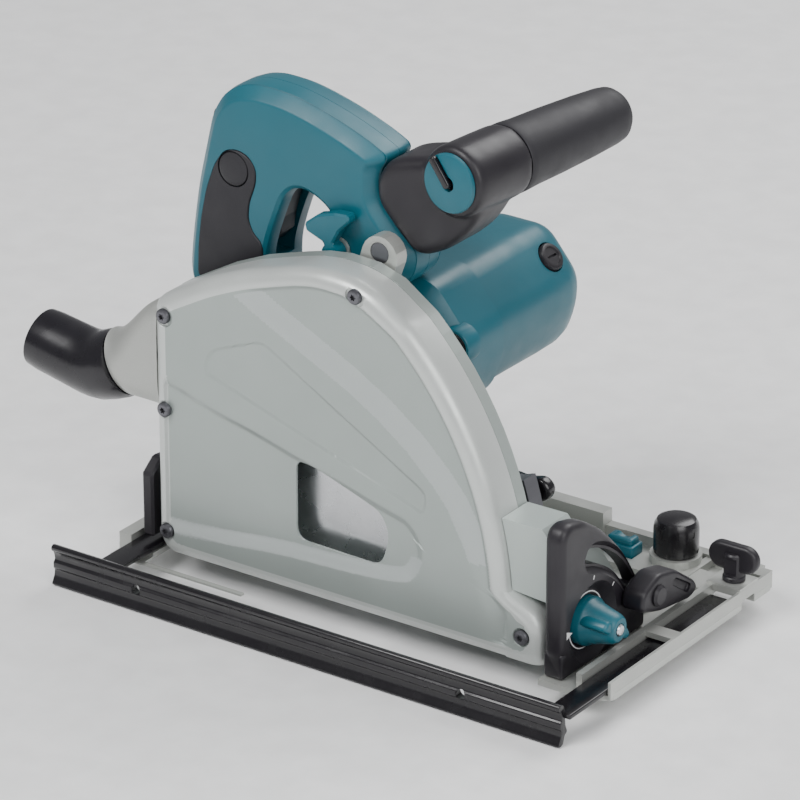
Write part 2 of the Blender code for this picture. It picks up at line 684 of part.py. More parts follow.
def make_brushes():
    """Two carbon brushes on the commutator and their slotted caps."""
    for index, side in enumerate((-1, 1)):
        x0, x1 = sorted((MOTOR_X + side * 11.4, MOTOR_X + side * 27))
        low, high = (x0, BRUSH_Y - 3.5, MOTOR_Z - 3), (x1, BRUSH_Y + 3.5, MOTOR_Z + 3)
        turn_brush(box("carbon_brush_%d" % (index + 1), low, high, dark_steel()))
        x2, x3 = sorted((MOTOR_X + side * 27.6, MOTOR_X + side * 43.0))
        cap = rod("brush_cap_%d" % (index + 1), "X", (BRUSH_Y, MOTOR_Z), 8.0, x2, x3, black(), 20)
        rim = MOTOR_X + side * 42.4
        slot = box("s", (rim - 1, BRUSH_Y - 6, MOTOR_Z - 0.8), (rim + 1, BRUSH_Y + 6, MOTOR_Z + 0.8), black())
        cut(cap, slot)
        smooth(turn_brush(cap))


def handle_outer():
    points = [(-152, 152), (-156, 166), (-155, 180), (-153, 196), (-149, 222), (-143, 247), (-138, 270)]
    points += [(-130, 284), (-117, 290.5), (-104, 292), (-84, 290.5), (-66, 287), (-46, 281), (-27, 273.5)]
    points += [(-13, 266.5), (-20, 256), (-20, 240), (-7, 226), (6, 214), (4, 200)]
    points += [(-4, 189.6), (-56, 189.6), (-62, 152)]
    return points


def handle_opening():
    return [(-112, 168), (-109, 190), (-101, 206), (-95, 222), (-86, 236), (-72, 238.5), (-58, 233), (-50, 224), (-47, 210), (-54, 198), (-70, 192), (-74, 168)]


def make_handle_half(name, near):
    """One shell of the D-handle, hollow and open at the parting plane."""
    side = -1 if near else 1
    inner_y = HANDLE_MID + side * 0.15
    outer_y = HANDLE_NEAR if near else HANDLE_FAR
    outer, hole = handle_outer(), handle_opening()
    levels = ((inner_y, 0.0), (outer_y - side * 9.0, 0.0), (outer_y - side * 3.6, 2.2), (outer_y, 7.0))
    loops = [[(x, y, z) for x, z in offset(outer, -inset)] for y, inset in levels]
    body = rings(name, loops, teal())
    levels = ((inner_y - side * 2.0, 0.0), (outer_y - side * 9.0, 0.0), (outer_y - side * 3.6, 1.8), (outer_y + side * 1.0, 6.5))
    loops = [[(x, y, z) for x, z in offset(hole, inset)] for y, inset in levels]
    cut(body, rings("h", loops, teal()))
    loops = []
    for y, inset in ((inner_y - side * 1.0, 3.2), (outer_y - side * 9.0, 3.4), (outer_y - side * 4.0, 8.0)):
        loops.append([(x, y, z) for x, z in offset(outer, -inset)])
    cavity = rings("c", loops, teal())
    loops = []
    for y, inset in ((inner_y - side * 3.0, 3.2), (outer_y - side * 9.0, 3.4), (outer_y - side * 3.0, 8.0)):
        loops.append([(x, y, z) for x, z in offset(hole, inset)])
    cut(cavity, rings("k", loops, teal()))
    cut(body, cavity)
    slot = box("s", (-124, -34.2, 188), (-84, -15.8, 243), teal())
    cut(body, slot)
    if near:
        cut(body, rod("l", "Y", (-118, 239), 11.6, -50, -30, teal(), 24))
    return smooth(body)


def make_handle_parts():
    """Grip rubber, switch body, trigger, lock-off button, dial, cord inlet and change lever."""
    patch = [(-143.5, 166), (-144, 192), (-139.5, 221), (-131, 241), (-130, 226), (-118, 226.0), (-105.5, 228)]
    patch += [(-110, 212), (-114, 196), (-118, 176), (-124, 166)]
    smooth(soften(prism("grip_rubber_near", "Y", patch, -46.6, -45.3, rubber()), 0.4, 1, 60))
    spine = [(-157.2, 168), (-153.9, 198), (-150.2, 222), (-144.4, 247), (-139.2, 271)]
    back = offset(spine + [(-90, 271), (-90, 168)], 1.6)[:5]
    smooth(prism("grip_rubber_spine", "Y", spine + list(reversed(back)), -40, -10, rubber()))
    body = box("switch_body", (-143.5, -33, 192), (-130, -17, 224), black())
    smooth(soften(body, 1.0, 1, 60))
    points = [(-122, 196), (-112, 190.5), (-102.5, 192), (-94.5, 200), (-93, 210), (-88, 226), (-86, 238), (-99, 241)]
    points += [(-106, 236), (-122, 230)]
    trigger = prism("trigger", "Y", points, -33, -17, black())
    soften(trigger, 1.5, 1, 40)
    set_origin(smooth(trigger), (-100, -25, 234))
    profile = [(0, -49.5), (9.0, -49.5), (11.0, -48.0), (11.2, -38), (7, -37.6), (7, -35.0), (0, -35.0)]
    button = lathe("lock_off_button", "Y", (-118, 239), profile, black(), 24)
    set_origin(smooth(button), (-118, -45, 239))
    dial = lathe("speed_dial", "Y", (-134, 178), [(0, -4.7), (11, -4.7), (11, -1.6), (10, -0.6), (0, -0.6)], black(), 24)
    set_origin(smooth(dial), (-134, -4.7, 178))
    profile = [(5.0, 0.4), (12.5, 0.4), (12.5, 4), (8.5, 6), (8.5, 13), (5.0, 13)]
    inlet = lathe("cord_inlet", "Z", (-25, 138), profile, black(), 20)
    turn = Matrix.Translation(Vector((-138, -25, 151.6)) * MM) @ Matrix.Rotation(pi, 4, "Y")
    inlet.data.transform(turn @ Matrix.Translation(Vector((25, -138, 0)) * MM))
    smooth(inlet)
    points = [(-60, 217.5), (-61, 222), (-52, 229), (-40, 232.5), (-31, 233.2), (-29.5, 229.5), (-37, 222), (-41, 214)]
    points += [(-40, 206), (-47, 206), (-48, 213)]
    lever = prism("blade_change_lever", "Y", points, -55.2, -47.0, teal())
    soften(lever, 1.2, 1, 50)
    hub = rod("h", "Y", (-43, 207), 6.0, -54.8, -47.0, teal(), 20)
    fuse(lever, hub)
    cut(lever, rod("c", "Y", (-43, 207), 2.4, -60, -40, teal(), 12))
    set_origin(smooth(lever), (-43, -50, 207))
    screw = lathe("boss_screw", "Y", (-8.5, 216), [(0, -55.0), (6, -55.0), (6, -53.2), (3.1, -53.2), (3.1, -46.2), (0, -46.2)], black(), 16)
    smooth(screw)


def grip_matrix():
    """Local Z along the front grip's axis, pointing to its far end."""
    axis = Vector((0.08, 1.0, -0.017)).normalized()
    side = Vector((1, 0, 0))
    up = axis.cross(side).normalized()
    side = up.cross(axis).normalized()
    turn = Matrix((side, up, axis)).transposed().to_4x4()
    return Matrix.Translation(Vector((35.8, -52.0, 266.8)) * MM) @ turn


def make_front_grip():
    """Neck clamp on the handle's nose, rubber grip, its end cap and the stored hex key."""
    points = [(-12.6, 266.2), (-19.6, 255.6), (-19.6, 240.4), (-6.8, 226.4), (6.4, 214.4), (14, 214.4), (27, 221), (40, 233)]
    points += [(47, 246), (50, 262), (40, 276), (8, 271.5), (-4, 269.5)]
    neck = prism("grip_neck", "Y", points, -44, -6, black())
    soften(neck, 5.0, 2, 50)
    collar = lathe("c", "Z", (0, 0), [(0, 2.6), (19, 2.6), (21, 4.6), (21.5, 30), (21.5, 44), (20.5, 50), (0, 50)], black(), 32)
    collar.data.transform(grip_matrix())
    fuse(neck, collar)
    bore = rod("b", "Z", (0, 0), 4.2, -5, 60, black(), 16)
    bore.data.transform(grip_matrix())
    smooth(cut(neck, bore))
    profile = [(0, 50.4), (20.2, 50.4), (20.8, 56), (19.6, 62), (19.4, 100), (17.4, 140), (15.6, 148), (11, 151.6), (0, 152.4)]
    grip = lathe("front_grip", "Z", (0, 0), profile, rubber(), 32)
    bore = rod("b", "Z", (0, 0), 4.2, 40, 130, black(), 16)
    cut(grip, bore)
    grip.data.transform(grip_matrix())
    smooth(grip)
    profile = [(4.2, -0.6), (15, -0.6), (17.3, 0.6), (17.3, 2.3), (4.2, 2.3)]
    cap = lathe("grip_cap", "Z", (0, 0), profile, teal(), 28)
    slot = box("s", (-3.4, -16, -2), (3.4, 3, 0.9), teal())
    cut(cap, slot)
    cap.data.transform(grip_matrix())
    smooth(cap)
    profile = [(0, -2.0), (2.6, -2.0), (2.6, 118), (0, 118)]
    key = lathe("hex_key", "Z", (0, 0), profile, dark_steel(), 6)
    foot = box("f", (-2.5, -14.5, -3.6), (2.5, 2.2, 0.5), dark_steel())
    fuse(key, foot)
    key.data.transform(grip_matrix())
    set_origin(key, (35.8, -52.0, 266.8))


def make_base_fittings():
    """Knobs, slider, wing screws, stopper and clamp levers on the base and brackets."""
    profile = [(0, 5.0), (5.0, 5.0), (5.0, 14.0), (12.0, 14.0), (13.6, 16), (13.6, 34.0), (12, 36.5), (0, 36.5)]
    knob = lathe("rail_adjust_knob", "Z", (115, 70), profile, black(), 24)
    for k in range(6):
        t = radians(60 * k)
        cut(knob, rod("n", "Z", (115 + 15.4 * cos(t), 70 + 15.4 * sin(t)), 2.6, 18, 32, black(), 8))
    set_origin(smooth(knob), (115, 70, 14))
    slider = box("anti_tip_slider", (72, 57, 5.8), (93, 70, 16), teal())
    soften(slider, 1.5, 1, 60)
    fuse(slider, box("r", (76, 61, 15), (89, 64, 18.4), teal()))
    set_origin(smooth(slider), (82.5, 63, 6))
    for name, x in (("front_wing_screw", 162.0), ("rear_wing_screw", -155.0)):
        z = 14.4
        stem = lathe(name, "Z", (x, 58), [(0, 7.8), (3.0, 7.8), (3.0, z - 0.2), (5.5, z - 0.2), (5.5, 24), (0, 24)], dark_steel(), 16)
        wing = hull(disc(x - 8, 28.5, 8.5, 16) + disc(x + 8, 28.5, 8.5, 16))
        plate = prism("w", "Y", wing, 55.4, 60.6, black())
        soften(plate, 1.2, 1, 60)
        fuse(stem, plate)
        set_origin(smooth(stem), (x, 58, z))
    profile = [(0, 127.0), (5.0, 127.0), (5.0, 134.8), (14.8, 134.8), (14.8, 144.0), (13.5, 146.5), (0, 146.5)]
    stopper = lathe("bevel_stopper_knob", "X", (-60, 29), profile, teal(), 28)
    grip = prism("g", "X", hull(disc(-67, 33, 4.2, 12) + disc(-53, 25, 4.2, 12)), 145, 157, teal())
    fuse(stopper, grip)
    set_origin(smooth(stopper), (141, -60, 29))
    make_clamp("front_clamp_lever", (-15.0, 30.8), 1)
    make_clamp("rear_clamp_lever", (TILT_Y + 50 * cos(radians(SLOT_START)), 50 * sin(radians(SLOT_START))), -1)


def make_clamp(name, centre, side):
    """Bolt through the curved slot with a lever outside the quadrant."""
    if side > 0:
        low, washer, face, end = 114.0, 137.9, 141.4, 156.0
    else:
        low, washer, face, end = -140.0, -158.3, -158.4, -172.0
    profile = [(0, low), (3.7, low), (3.7, washer), (6.6, washer), (6.6, face), (8.5, face), (8.5, end), (0, end)]
    if side < 0:
        profile = [(0, low), (3.7, low), (3.7, face), (8.5, face), (8.5, end), (0, end)]
    lever = lathe(name, "X", centre, profile, black(), 20)
    x0, x1 = sorted((face + side * 4.5, end - side * 1.5))
    arm = hull(disc(centre[0] + 4, centre[1] + 2, 6.5, 12) + disc(centre[0] + 30, centre[1] + 9, 4.5, 12))
    plate = prism("p", "X", arm, x0, x1, black())
    soften(plate, 1.5, 1, 50)
    fuse(lever, plate)
    return set_origin(smooth(lever), (face, centre[0], centre[1]))


def make_guide_rule():
    """Fence bar with two round holes on two arms that slide in the base channels."""
    section = [(-124, -4), (-126, 4), (-127.5, 12), (-130.5, 14), (-132.5, 12), (-131.5, 6), (-130.5, 0), (-131.5, -6), (-133, -12), (-128, -12), (-127, -6)]
    bar = prism("guide_rule", "X", section, -190, 166, black())
    soften(bar, 0.6, 1, 60)
    front = box("a", (154, -128, 4.5), (170, 45, 7.5), black())
    rear = box("b", (-163, -128, 4.5), (-146.9, 45, 7.5), black())
    fuse(bar, front, rear)
    cut(bar, rod("h", "Y", (-129, 2.5), 3.0, -140, -120, black(), 16), rod("i", "Y", (99, 2.5), 3.0, -140, -120, black(), 16))
    return smooth(bar)


def make_depth_parts():
    """Arc scale on the case rim, sliding stop with its knob, plunge shaft, return spring and nut."""
    outer = arc(PIVOT_X, PIVOT_Z, 219, 8, 44, 14)
    inner = arc(PIVOT_X, PIVOT_Z, 206, 44, 8, 14)
    scale = prism("depth_scale", "Y", outer + inner, -56.7, -55.6, black())
    for k in range(9):
        t = radians(12 + 3.6 * k)
        c = (PIVOT_X + 207 * cos(t), PIVOT_Z + 207 * sin(t))
        cut(scale, rod("n", "Y", c, 1.8, -60, -50, black(), 8))
    smooth(scale)
    points = arc(PIVOT_X, PIVOT_Z, 221, 12.4, 18.6, 4) + arc(PIVOT_X, PIVOT_Z, 196, 18.6, 12.4, 4)
    stop = prism("depth_stop", "Y", points, -54.0, -42.0, dark_steel())
    t = radians(15.5)
    c = (PIVOT_X + 206 * cos(t), PIVOT_Z + 206 * sin(t))
    cut(stop, rod("b", "Y", c, 3.3, -60, -40, dark_steel(), 14))
    set_origin(smooth(stop), (PIVOT_X, -48, PIVOT_Z))
    profile = [(0, -52), (3.0, -52), (3.0, -41.6), (9.5, -41.6), (11.0, -39), (9.5, -30), (7, -28.4), (0, -28.4)]
    knob = lathe("depth_stop_knob", "Y", c, profile, black(), 20)
    wing = hull(disc(c[0] - 13, c[1] + 3, 3.6, 10) + disc(c[0] + 13, c[1] - 3, 3.6, 10))
    plate = prism("w", "Y", wing, -36, -28.6, black())
    soften(plate, 1.2, 1, 50)
    fuse(knob, plate)
    set_origin(smooth(knob), (c[0], -41.6, c[1]))
    profile = [(0, -60), (6.0, -60), (6.0, -27.6), (9.0, -27.6), (9.0, -23), (0, -23)]
    smooth(lathe("plunge_shaft", "Y", (PIVOT_X, PIVOT_Z), profile, steel(), 20))
    make_return_spring()


def make_return_spring():
    """Coil around the plunge shaft."""
    loops = []
    turns = 3
    count = 12 * turns
    for i in range(count + 1):
        t = 2 * pi * i / 12
        y = -34.8 + 6.4 * i / count
        centre = Vector((PIVOT_X + 7.6 * cos(t), y, PIVOT_Z + 7.6 * sin(t)))
        radial = Vector((cos(t), 0, sin(t)))
        ring = []
        for k in range(6):
            a = 2 * pi * k / 6
            ring.append(tuple(centre + radial * (0.85 * cos(a)) + Vector((0, 0.85 * sin(a), 0))))
        loops.append(ring)
    return smooth(rings("return_spring", loops, steel()))


def build():
    clear_scene()
    make_base()
    make_front_quadrant()
    make_rear_quadrant()
    make_case()
    make_cover()
    make_cover_screws()
    make_dust_port()
    make_dust_nozzle()
    make_saw_blade()
    make_spindle_group()
    make_drive()
    make_gear_housing()
    make_bearings()
    make_motor_housing()
    make_brushes()
    make_handle_half("handle_near_half", True)
    make_handle_half("handle_far_half", False)
    make_handle_parts()
    make_front_grip()
    make_base_fittings()
    make_guide_rule()
    make_depth_parts()


build()
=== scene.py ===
"""Looks of the track plunge saw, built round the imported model. Lengths are millimetres unless noted."""
from math import cos, pi, radians, sin

import bmesh
import bpy
import numpy as np
from mathutils import Matrix, Vector


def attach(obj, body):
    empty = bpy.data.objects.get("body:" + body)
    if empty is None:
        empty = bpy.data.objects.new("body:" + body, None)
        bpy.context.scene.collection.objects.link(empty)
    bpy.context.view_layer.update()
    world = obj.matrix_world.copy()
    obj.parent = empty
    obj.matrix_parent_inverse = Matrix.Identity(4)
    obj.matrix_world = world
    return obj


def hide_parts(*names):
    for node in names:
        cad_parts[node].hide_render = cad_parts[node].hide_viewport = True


MM = 0.001

# Driving dimensions shared with the CAD model
PIVOT_X, PIVOT_Z = -120.0, 30.0
TILT_Y, TILT_Z = -80.0, 0.0
TILT_MAX = 48.0
SLOT_R, SLOT_START = 71.9, 25.35
MOTOR_X, MOTOR_Z = -15.0, 146.0
BRUSH_Y, BRUSH_ANGLE = 84.0, 40.0
KEY_LEAN = 38.0
CASTING_EDGE, PLAIN_EDGE = 1.2, 0.5
THUMB_X, THUMB_Z = -117.5, 239.0
DIAL_Y, DIAL_Z = -60.0, 29.0
CLAMP_Y, CLAMP_Z = -15.0, 30.8
DUST_PORT = (-177.0, -73.0, 114.0)
DUST_LEAN = 26.6
CASE_PART, CASE_ARC_R = -66.0, 222.0
HANDLE_NEAR, HANDLE_FAR = -45.0, -5.0
COVER_SCREWS = ((-1.3, 203.0), (-136.5, 158.0), (-137.0, 99.0), (-137.0, 21.0), (112.5, 23.3))

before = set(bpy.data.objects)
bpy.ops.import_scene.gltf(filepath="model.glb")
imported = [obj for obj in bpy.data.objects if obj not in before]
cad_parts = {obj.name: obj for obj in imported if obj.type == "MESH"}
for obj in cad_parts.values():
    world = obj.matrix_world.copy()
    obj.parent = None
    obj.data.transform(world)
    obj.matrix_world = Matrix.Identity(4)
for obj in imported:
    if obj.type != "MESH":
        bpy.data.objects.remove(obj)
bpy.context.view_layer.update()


class Nodes:
    """Short calls for building a material's node tree."""

    def __init__(self, name):
        self.material = bpy.data.materials.new(name)
        self.material.use_nodes = True
        self.tree = self.material.node_tree
        self.shader = self.tree.nodes["Principled BSDF"]
        self.coords = self.tree.nodes.new("ShaderNodeTexCoord").outputs["Object"]

    def add(self, kind, **values):
        node = self.tree.nodes.new(kind)
        for key, value in values.items():
            if key in node.inputs:
                node.inputs[key].default_value = value
            else:
                setattr(node, key, value)
        return node

    def link(self, source, target):
        self.tree.links.new(source, target)

    def noise(self, scale, detail=4.0, stretch=None):
        node = self.add("ShaderNodeTexNoise", Scale=scale, Detail=detail)
        if stretch:
            mapping = self.add("ShaderNodeMapping", Scale=stretch)
            self.link(self.coords, mapping.inputs["Vector"])
            self.link(mapping.outputs["Vector"], node.inputs["Vector"])
        else:
            self.link(self.coords, node.inputs["Vector"])
        return node.outputs["Fac"]

    def remap(self, value, low, high, out_low, out_high):
        node = self.add("ShaderNodeMapRange")
        node.inputs["From Min"].default_value = low
        node.inputs["From Max"].default_value = high
        node.inputs["To Min"].default_value = out_low
        node.inputs["To Max"].default_value = out_high
        self.link(value, node.inputs["Value"])
        return node.outputs["Result"]

    def mix(self, factor, one, two):
        node = self.add("ShaderNodeMix", data_type="RGBA")
        self.link(factor, node.inputs["Factor"])
        for socket, value in ((node.inputs[6], one), (node.inputs[7], two)):
            if isinstance(value, tuple):
                socket.default_value = (*value, 1.0)
            else:
                self.link(value, socket)
        return node.outputs[2]


def shade(colour, amount):
    return tuple(min(1.0, max(0.0, c * amount)) for c in colour)


def surface(name, colour, roughness, metallic, grain=900.0, depth=0.00003, spread=0.10, wear=0.0, coat=0.0,
            stretch=None):
    """Principled material: cloudy colour, fine grain bump, uneven gloss and lighter worn edges."""
    n = Nodes(name)
    clouds = n.remap(n.noise(18.0), 0.3, 0.7, 0.0, 1.0)
    tone = n.mix(clouds, shade(colour, 1.0 - spread), shade(colour, 1.0 + spread))
    fine = n.noise(grain, 6.0, stretch)
    speck = n.remap(fine, 0.35, 0.65, 0.0, 0.35)
    tone = n.mix(speck, tone, shade(colour, 0.82))
    if wear:
        point = n.add("ShaderNodeNewGeometry").outputs["Pointiness"]
        edge = n.remap(point, 0.53, 0.62, 0.0, wear)
        tone = n.mix(edge, tone, shade(colour, 1.7))
    n.link(tone, n.shader.inputs["Base Color"])
    gloss = n.remap(n.noise(60.0), 0.3, 0.7, max(0.03, roughness - 0.06), min(1.0, roughness + 0.07))
    n.link(gloss, n.shader.inputs["Roughness"])
    n.shader.inputs["Metallic"].default_value = metallic
    n.shader.inputs["Coat Weight"].default_value = coat
    n.shader.inputs["Coat Roughness"].default_value = 0.2
    bump = n.add("ShaderNodeBump", Strength=0.5, Distance=depth)
    n.link(fine, bump.inputs["Height"])
    n.link(bump.outputs["Normal"], n.shader.inputs["Normal"])
    return n.material


CASE = surface("case_paint", (0.37, 0.415, 0.395), 0.36, 0.30, 2600.0, 0.00001, 0.03, 0.3, coat=0.12)
# Painted highlight: a lighter copy of the case paint for the rim and its edge band, where they catch the
# light.
RIM_HIGHLIGHT = surface("case_rim_painted_highlight", (0.60, 0.63, 0.61), 0.34, 0.35, 2600.0, 0.00001, 0.03, 0.2)
# Painted sheen: a lighter copy of the case paint for sloped ramp faces that catch the light.
PAINTED_SHEEN = surface("case_painted_sheen", (0.45, 0.49, 0.48), 0.36, 0.30, 2600.0, 0.00001, 0.03)
SILVER = surface("cast_silver", (0.47, 0.48, 0.455), 0.40, 0.55, 1500.0, 0.00003, 0.05, 0.3)
TEAL = surface("teal_shell", (0.006, 0.110, 0.150), 0.40, 0.0, 1800.0, 0.00002, 0.06, 0.15, coat=0.05)
BLACK = surface("black_moulding", (0.014, 0.012, 0.016), 0.42, 0.0, 1500.0, 0.00003, 0.10, 0.2)
GLOSS = surface("black_gloss", (0.006, 0.005, 0.007), 0.24, 0.0, 2200.0, 0.00001, 0.10, 0.4, coat=0.2)
RUBBER = surface("grip_rubber", (0.016, 0.015, 0.019), 0.55, 0.0, 1100.0, 0.00010, 0.12, 0.2)
HOSE = surface("nozzle_rubber", (0.006, 0.005, 0.008), 0.27, 0.0, 900.0, 0.00003, 0.15, coat=0.15)
STEEL = surface("ground_steel", (0.62, 0.63, 0.65), 0.26, 1.0, 500.0, 0.00002, 0.06, 0.2, stretch=(1, 1, 6))
DARK = surface("blackened_steel", (0.10, 0.10, 0.11), 0.38, 0.8, 900.0, 0.00003, 0.12, 0.8)
COPPER = surface("lacquered_copper", (0.60, 0.27, 0.12), 0.35, 1.0, 700.0, 0.00004, 0.12)
CARBON = surface("carbon_block", (0.02, 0.02, 0.02), 0.6, 0.1, 1400.0, 0.00004, 0.2)
PRINT = surface("white_print", (0.80, 0.80, 0.80), 0.5, 0.0, 900.0, 0.00001, 0.03)


def put(name, bm, mat):
    """Turn a millimetre bmesh into a named metre object."""
    bmesh.ops.remove_doubles(bm, verts=bm.verts, dist=0.0005)
    bmesh.ops.recalc_face_normals(bm, faces=bm.faces)
    bm.normal_update()
    warped = []
    for face in bm.faces:
        centre = face.calc_center_median()
        if max(abs((v.co - centre).dot(face.normal)) for v in face.verts) > 0.001:
            warped.append(face)
    bmesh.ops.triangulate(bm, faces=warped)
    bmesh.ops.scale(bm, vec=(MM, MM, MM), verts=bm.verts)
    mesh = bpy.data.meshes.new(name)
    bm.to_mesh(mesh)
    bm.free()
    mesh.materials.append(mat)
    made = bpy.data.objects.new(name, mesh)
    bpy.context.scene.collection.objects.link(made)
    return made


def at_axis(axis, a, b, h):
    """3-D point from two in-plane values and the value along the axis."""
    if axis == "X":
        return (h, a, b)
    if axis == "Y":
        return (a, h, b)
    return (a, b, h)


def rings(name, loops, mat, closed=False):
    """Skin equal-length vertex loops; close the ends with flat caps."""
    bm = bmesh.new()
    made = []
    for loop in loops:
        made.append([bm.verts.new(p) for p in loop])
    count = len(loops[0])
    pairs = list(zip(made[:-1], made[1:]))
    if closed:
        pairs.append((made[-1], made[0]))
    for low, high in pairs:
        for i in range(count):
            j = (i + 1) % count
            bm.faces.new((low[i], low[j], high[j], high[i]))
    if not closed:
        bm.faces.new(made[0])
        bm.faces.new(list(reversed(made[-1])))
    return put(name, bm, mat)


def prism(name, axis, outline, low, high, mat):
    """Outline extruded along an axis."""
    loops = []
    for h in (low, high):
        loops.append([at_axis(axis, a, b, h) for a, b in outline])
    return rings(name, loops, mat)


def box(name, low, high, mat):
    outline = [(low[0], low[1]), (high[0], low[1]), (high[0], high[1]), (low[0], high[1])]
    return prism(name, "Z", outline, low[2], high[2], mat)


def lathe(name, axis, centre, profile, mat, segs=32):
    """Profile of (radius, height) turned about an axis; radius 0 closes on the axis."""
    bm = bmesh.new()
    columns = []
    for r, h in profile:
        if r < 1e-6:
            columns.append([bm.verts.new(at_axis(axis, centre[0], centre[1], h))])
            continue
        ring = []
        for i in range(segs):
            t = 2.0 * pi * i / segs
            ring.append(bm.verts.new(at_axis(axis, centre[0] + r * cos(t), centre[1] + r * sin(t), h)))
        columns.append(ring)
    pairs = list(zip(columns[:-1], columns[1:]))
    if profile[0][0] > 1e-6:
        pairs.append((columns[-1], columns[0]))
    for low, high in pairs:
        for i in range(segs):
            j = (i + 1) % segs
            if len(low) == 1 and len(high) == 1:
                continue
            if len(low) == 1:
                bm.faces.new((low[0], high[j], high[i]))
            elif len(high) == 1:
                bm.faces.new((low[i], low[j], high[0]))
            else:
                bm.faces.new((low[i], low[j], high[j], high[i]))
    return put(name, bm, mat)


def rod(name, axis, centre, radius, low, high, mat, segs=24):
    return lathe(name, axis, centre, [(0, low), (radius, low), (radius, high), (0, high)], mat, segs)


def evaluate(item):
    """Bake the object's modifiers into its mesh."""
    graph = bpy.context.evaluated_depsgraph_get()
    graph.update()
    baked = bpy.data.meshes.new_from_object(item.evaluated_get(graph))
    old = item.data
    item.modifiers.clear()
    item.data = baked
    bpy.data.meshes.remove(old)


def boolean(item, others, operation):
    for other in others:
        step = item.modifiers.new("shape", "BOOLEAN")
        step.operation = operation
        step.solver = "EXACT"
        step.object = other
        evaluate(item)
        bpy.data.objects.remove(other, do_unlink=True)
    return item


def cut(item, *others):
    return boolean(item, others, "DIFFERENCE")


def fuse(item, *others):
    return boolean(item, others, "UNION")


def smooth(item, angle=35.0):
    """Shade round faces smooth and keep the real edges sharp."""
    item.data.shade_smooth()
    item.data.set_sharp_from_angle(angle=radians(angle))
    return item


def arc(cx, cy, radius, start, end, steps):
    """Points on an arc, angles in degrees."""
    points = []
    for i in range(steps + 1):
        t = radians(start + (end - start) * i / steps)
        points.append((cx + radius * cos(t), cy + radius * sin(t)))
    return points


def hull(points):
    """Convex hull of 2-D points."""
    ordered = sorted(set((round(a, 5), round(b, 5)) for a, b in points))

    def half(source):
        chain = []
        for p in source:
            while len(chain) > 1:
                (ax, ay), (bx, by) = chain[-2], chain[-1]
                if (bx - ax) * (p[1] - ay) - (by - ay) * (p[0] - ax) > 1e-9:
                    break
                chain.pop()
            chain.append(p)
        return chain[:-1]

    return half(ordered) + half(reversed(ordered))


def disc(cx, cy, radius, steps=24):
    return arc(cx, cy, radius, 0, 360, steps)[:-1]


def offset(outline, distance):
    """Shift an outline along its vertex normals; positive grows a counter-clockwise loop."""
    area = 0.0
    count = len(outline)
    for i in range(count):
        ax, ay = outline[i]
        bx, by = outline[(i + 1) % count]
        area += ax * by - bx * ay
    sign = 1.0 if area > 0 else -1.0
    moved = []
    for i in range(count):
        px, py = outline[i - 1]
        qx, qy = outline[i]
        rx, ry = outline[(i + 1) % count]
        e1 = Vector((qx - px, qy - py)).normalized()
        e2 = Vector((rx - qx, ry - qy)).normalized()
        n1 = Vector((e1.y, -e1.x)) * sign
        n2 = Vector((e2.y, -e2.x)) * sign
        n = n1 + n2
        n /= max(0.35, (1.0 + n1.dot(n2)))
        moved.append((qx + n.x * distance, qy + n.y * distance))
    return moved


def arc_slot(cx, cy, radius, half_width, start, end, steps=12):
    """Closed outline of a curved slot with round ends."""
    outer = arc(cx, cy, radius + half_width, start, end, steps)
    inner = arc(cx, cy, radius - half_width, end, start, steps)
    ex, ey = cx + radius * cos(radians(end)), cy + radius * sin(radians(end))
    sx, sy = cx + radius * cos(radians(start)), cy + radius * sin(radians(start))
    cap_end = arc(ex, ey, half_width, end, end + 180, 6)[1:-1]
    cap_start = arc(sx, sy, half_width, start + 180, start + 360, 6)[1:-1]
    return outer + cap_end + inner + cap_start


def spline(points, steps):
    """Closed Catmull-Rom curve through 2-D points."""
    count = len(points)
    out = []
    for i in range(count):
        p0, p1, p2, p3 = (Vector(points[(i + k - 1) % count]) for k in range(4))
        for s in range(steps):
            t = s / steps
            a = 2 * p1
            b = p2 - p0
            c = 2 * p0 - 5 * p1 + 4 * p2 - p3
            d = 3 * p1 - p0 - 3 * p2 + p3
            q = 0.5 * (a + b * t + c * t * t + d * t ** 3)
            out.append((q.x, q.y))
    return out


def rounded(points, radius, steps=5):
    """Closed polygon with every corner turned into an arc-like curve."""
    count = len(points)
    out = []
    for i in range(count):
        a, b, c = Vector(points[i - 1]), Vector(points[i]), Vector(points[(i + 1) % count])
        reach = min(radius, (a - b).length * 0.45, (c - b).length * 0.45)
        start = b + (a - b).normalized() * reach
        end = b + (c - b).normalized() * reach
        for s in range(steps + 1):
            t = s / steps
            q = start * (1 - t) ** 2 + b * 2 * t * (1 - t) + end * t * t
            out.append((q.x, q.y))
    return out


def soft(points, radius, steps=5):
    """Outline that is inset first and rounded after, so that tight corners stay clean."""
    return lambda inset: rounded(offset(points, -inset), radius, steps)


def inset_line(outline, inset):
    return outline(inset) if callable(outline) else offset(outline, -inset)


def edge_levels(h_outer, side, depth, inset, steps):
    """Quarter-ellipse rounding: (height, inset) pairs that end on the outer face."""
    levels = []
    for k in range(steps + 1):
        a = radians(90.0 * k / steps)
        levels.append((h_outer - side * depth * (1 - sin(a)), inset * (1 - cos(a))))
    return levels


def slab(name, axis, outline, low, high, radius, mat, steps=3):
    """Prism whose two end faces have rounded edges."""
    levels = list(reversed(edge_levels(low, -1, radius, radius, steps)))
    levels += edge_levels(high, 1, radius, radius, steps)
    loops = []
    for h, inset in levels:
        loops.append([at_axis(axis, a, b, h) for a, b in inset_line(outline, inset)])
    return rings(name, loops, mat)


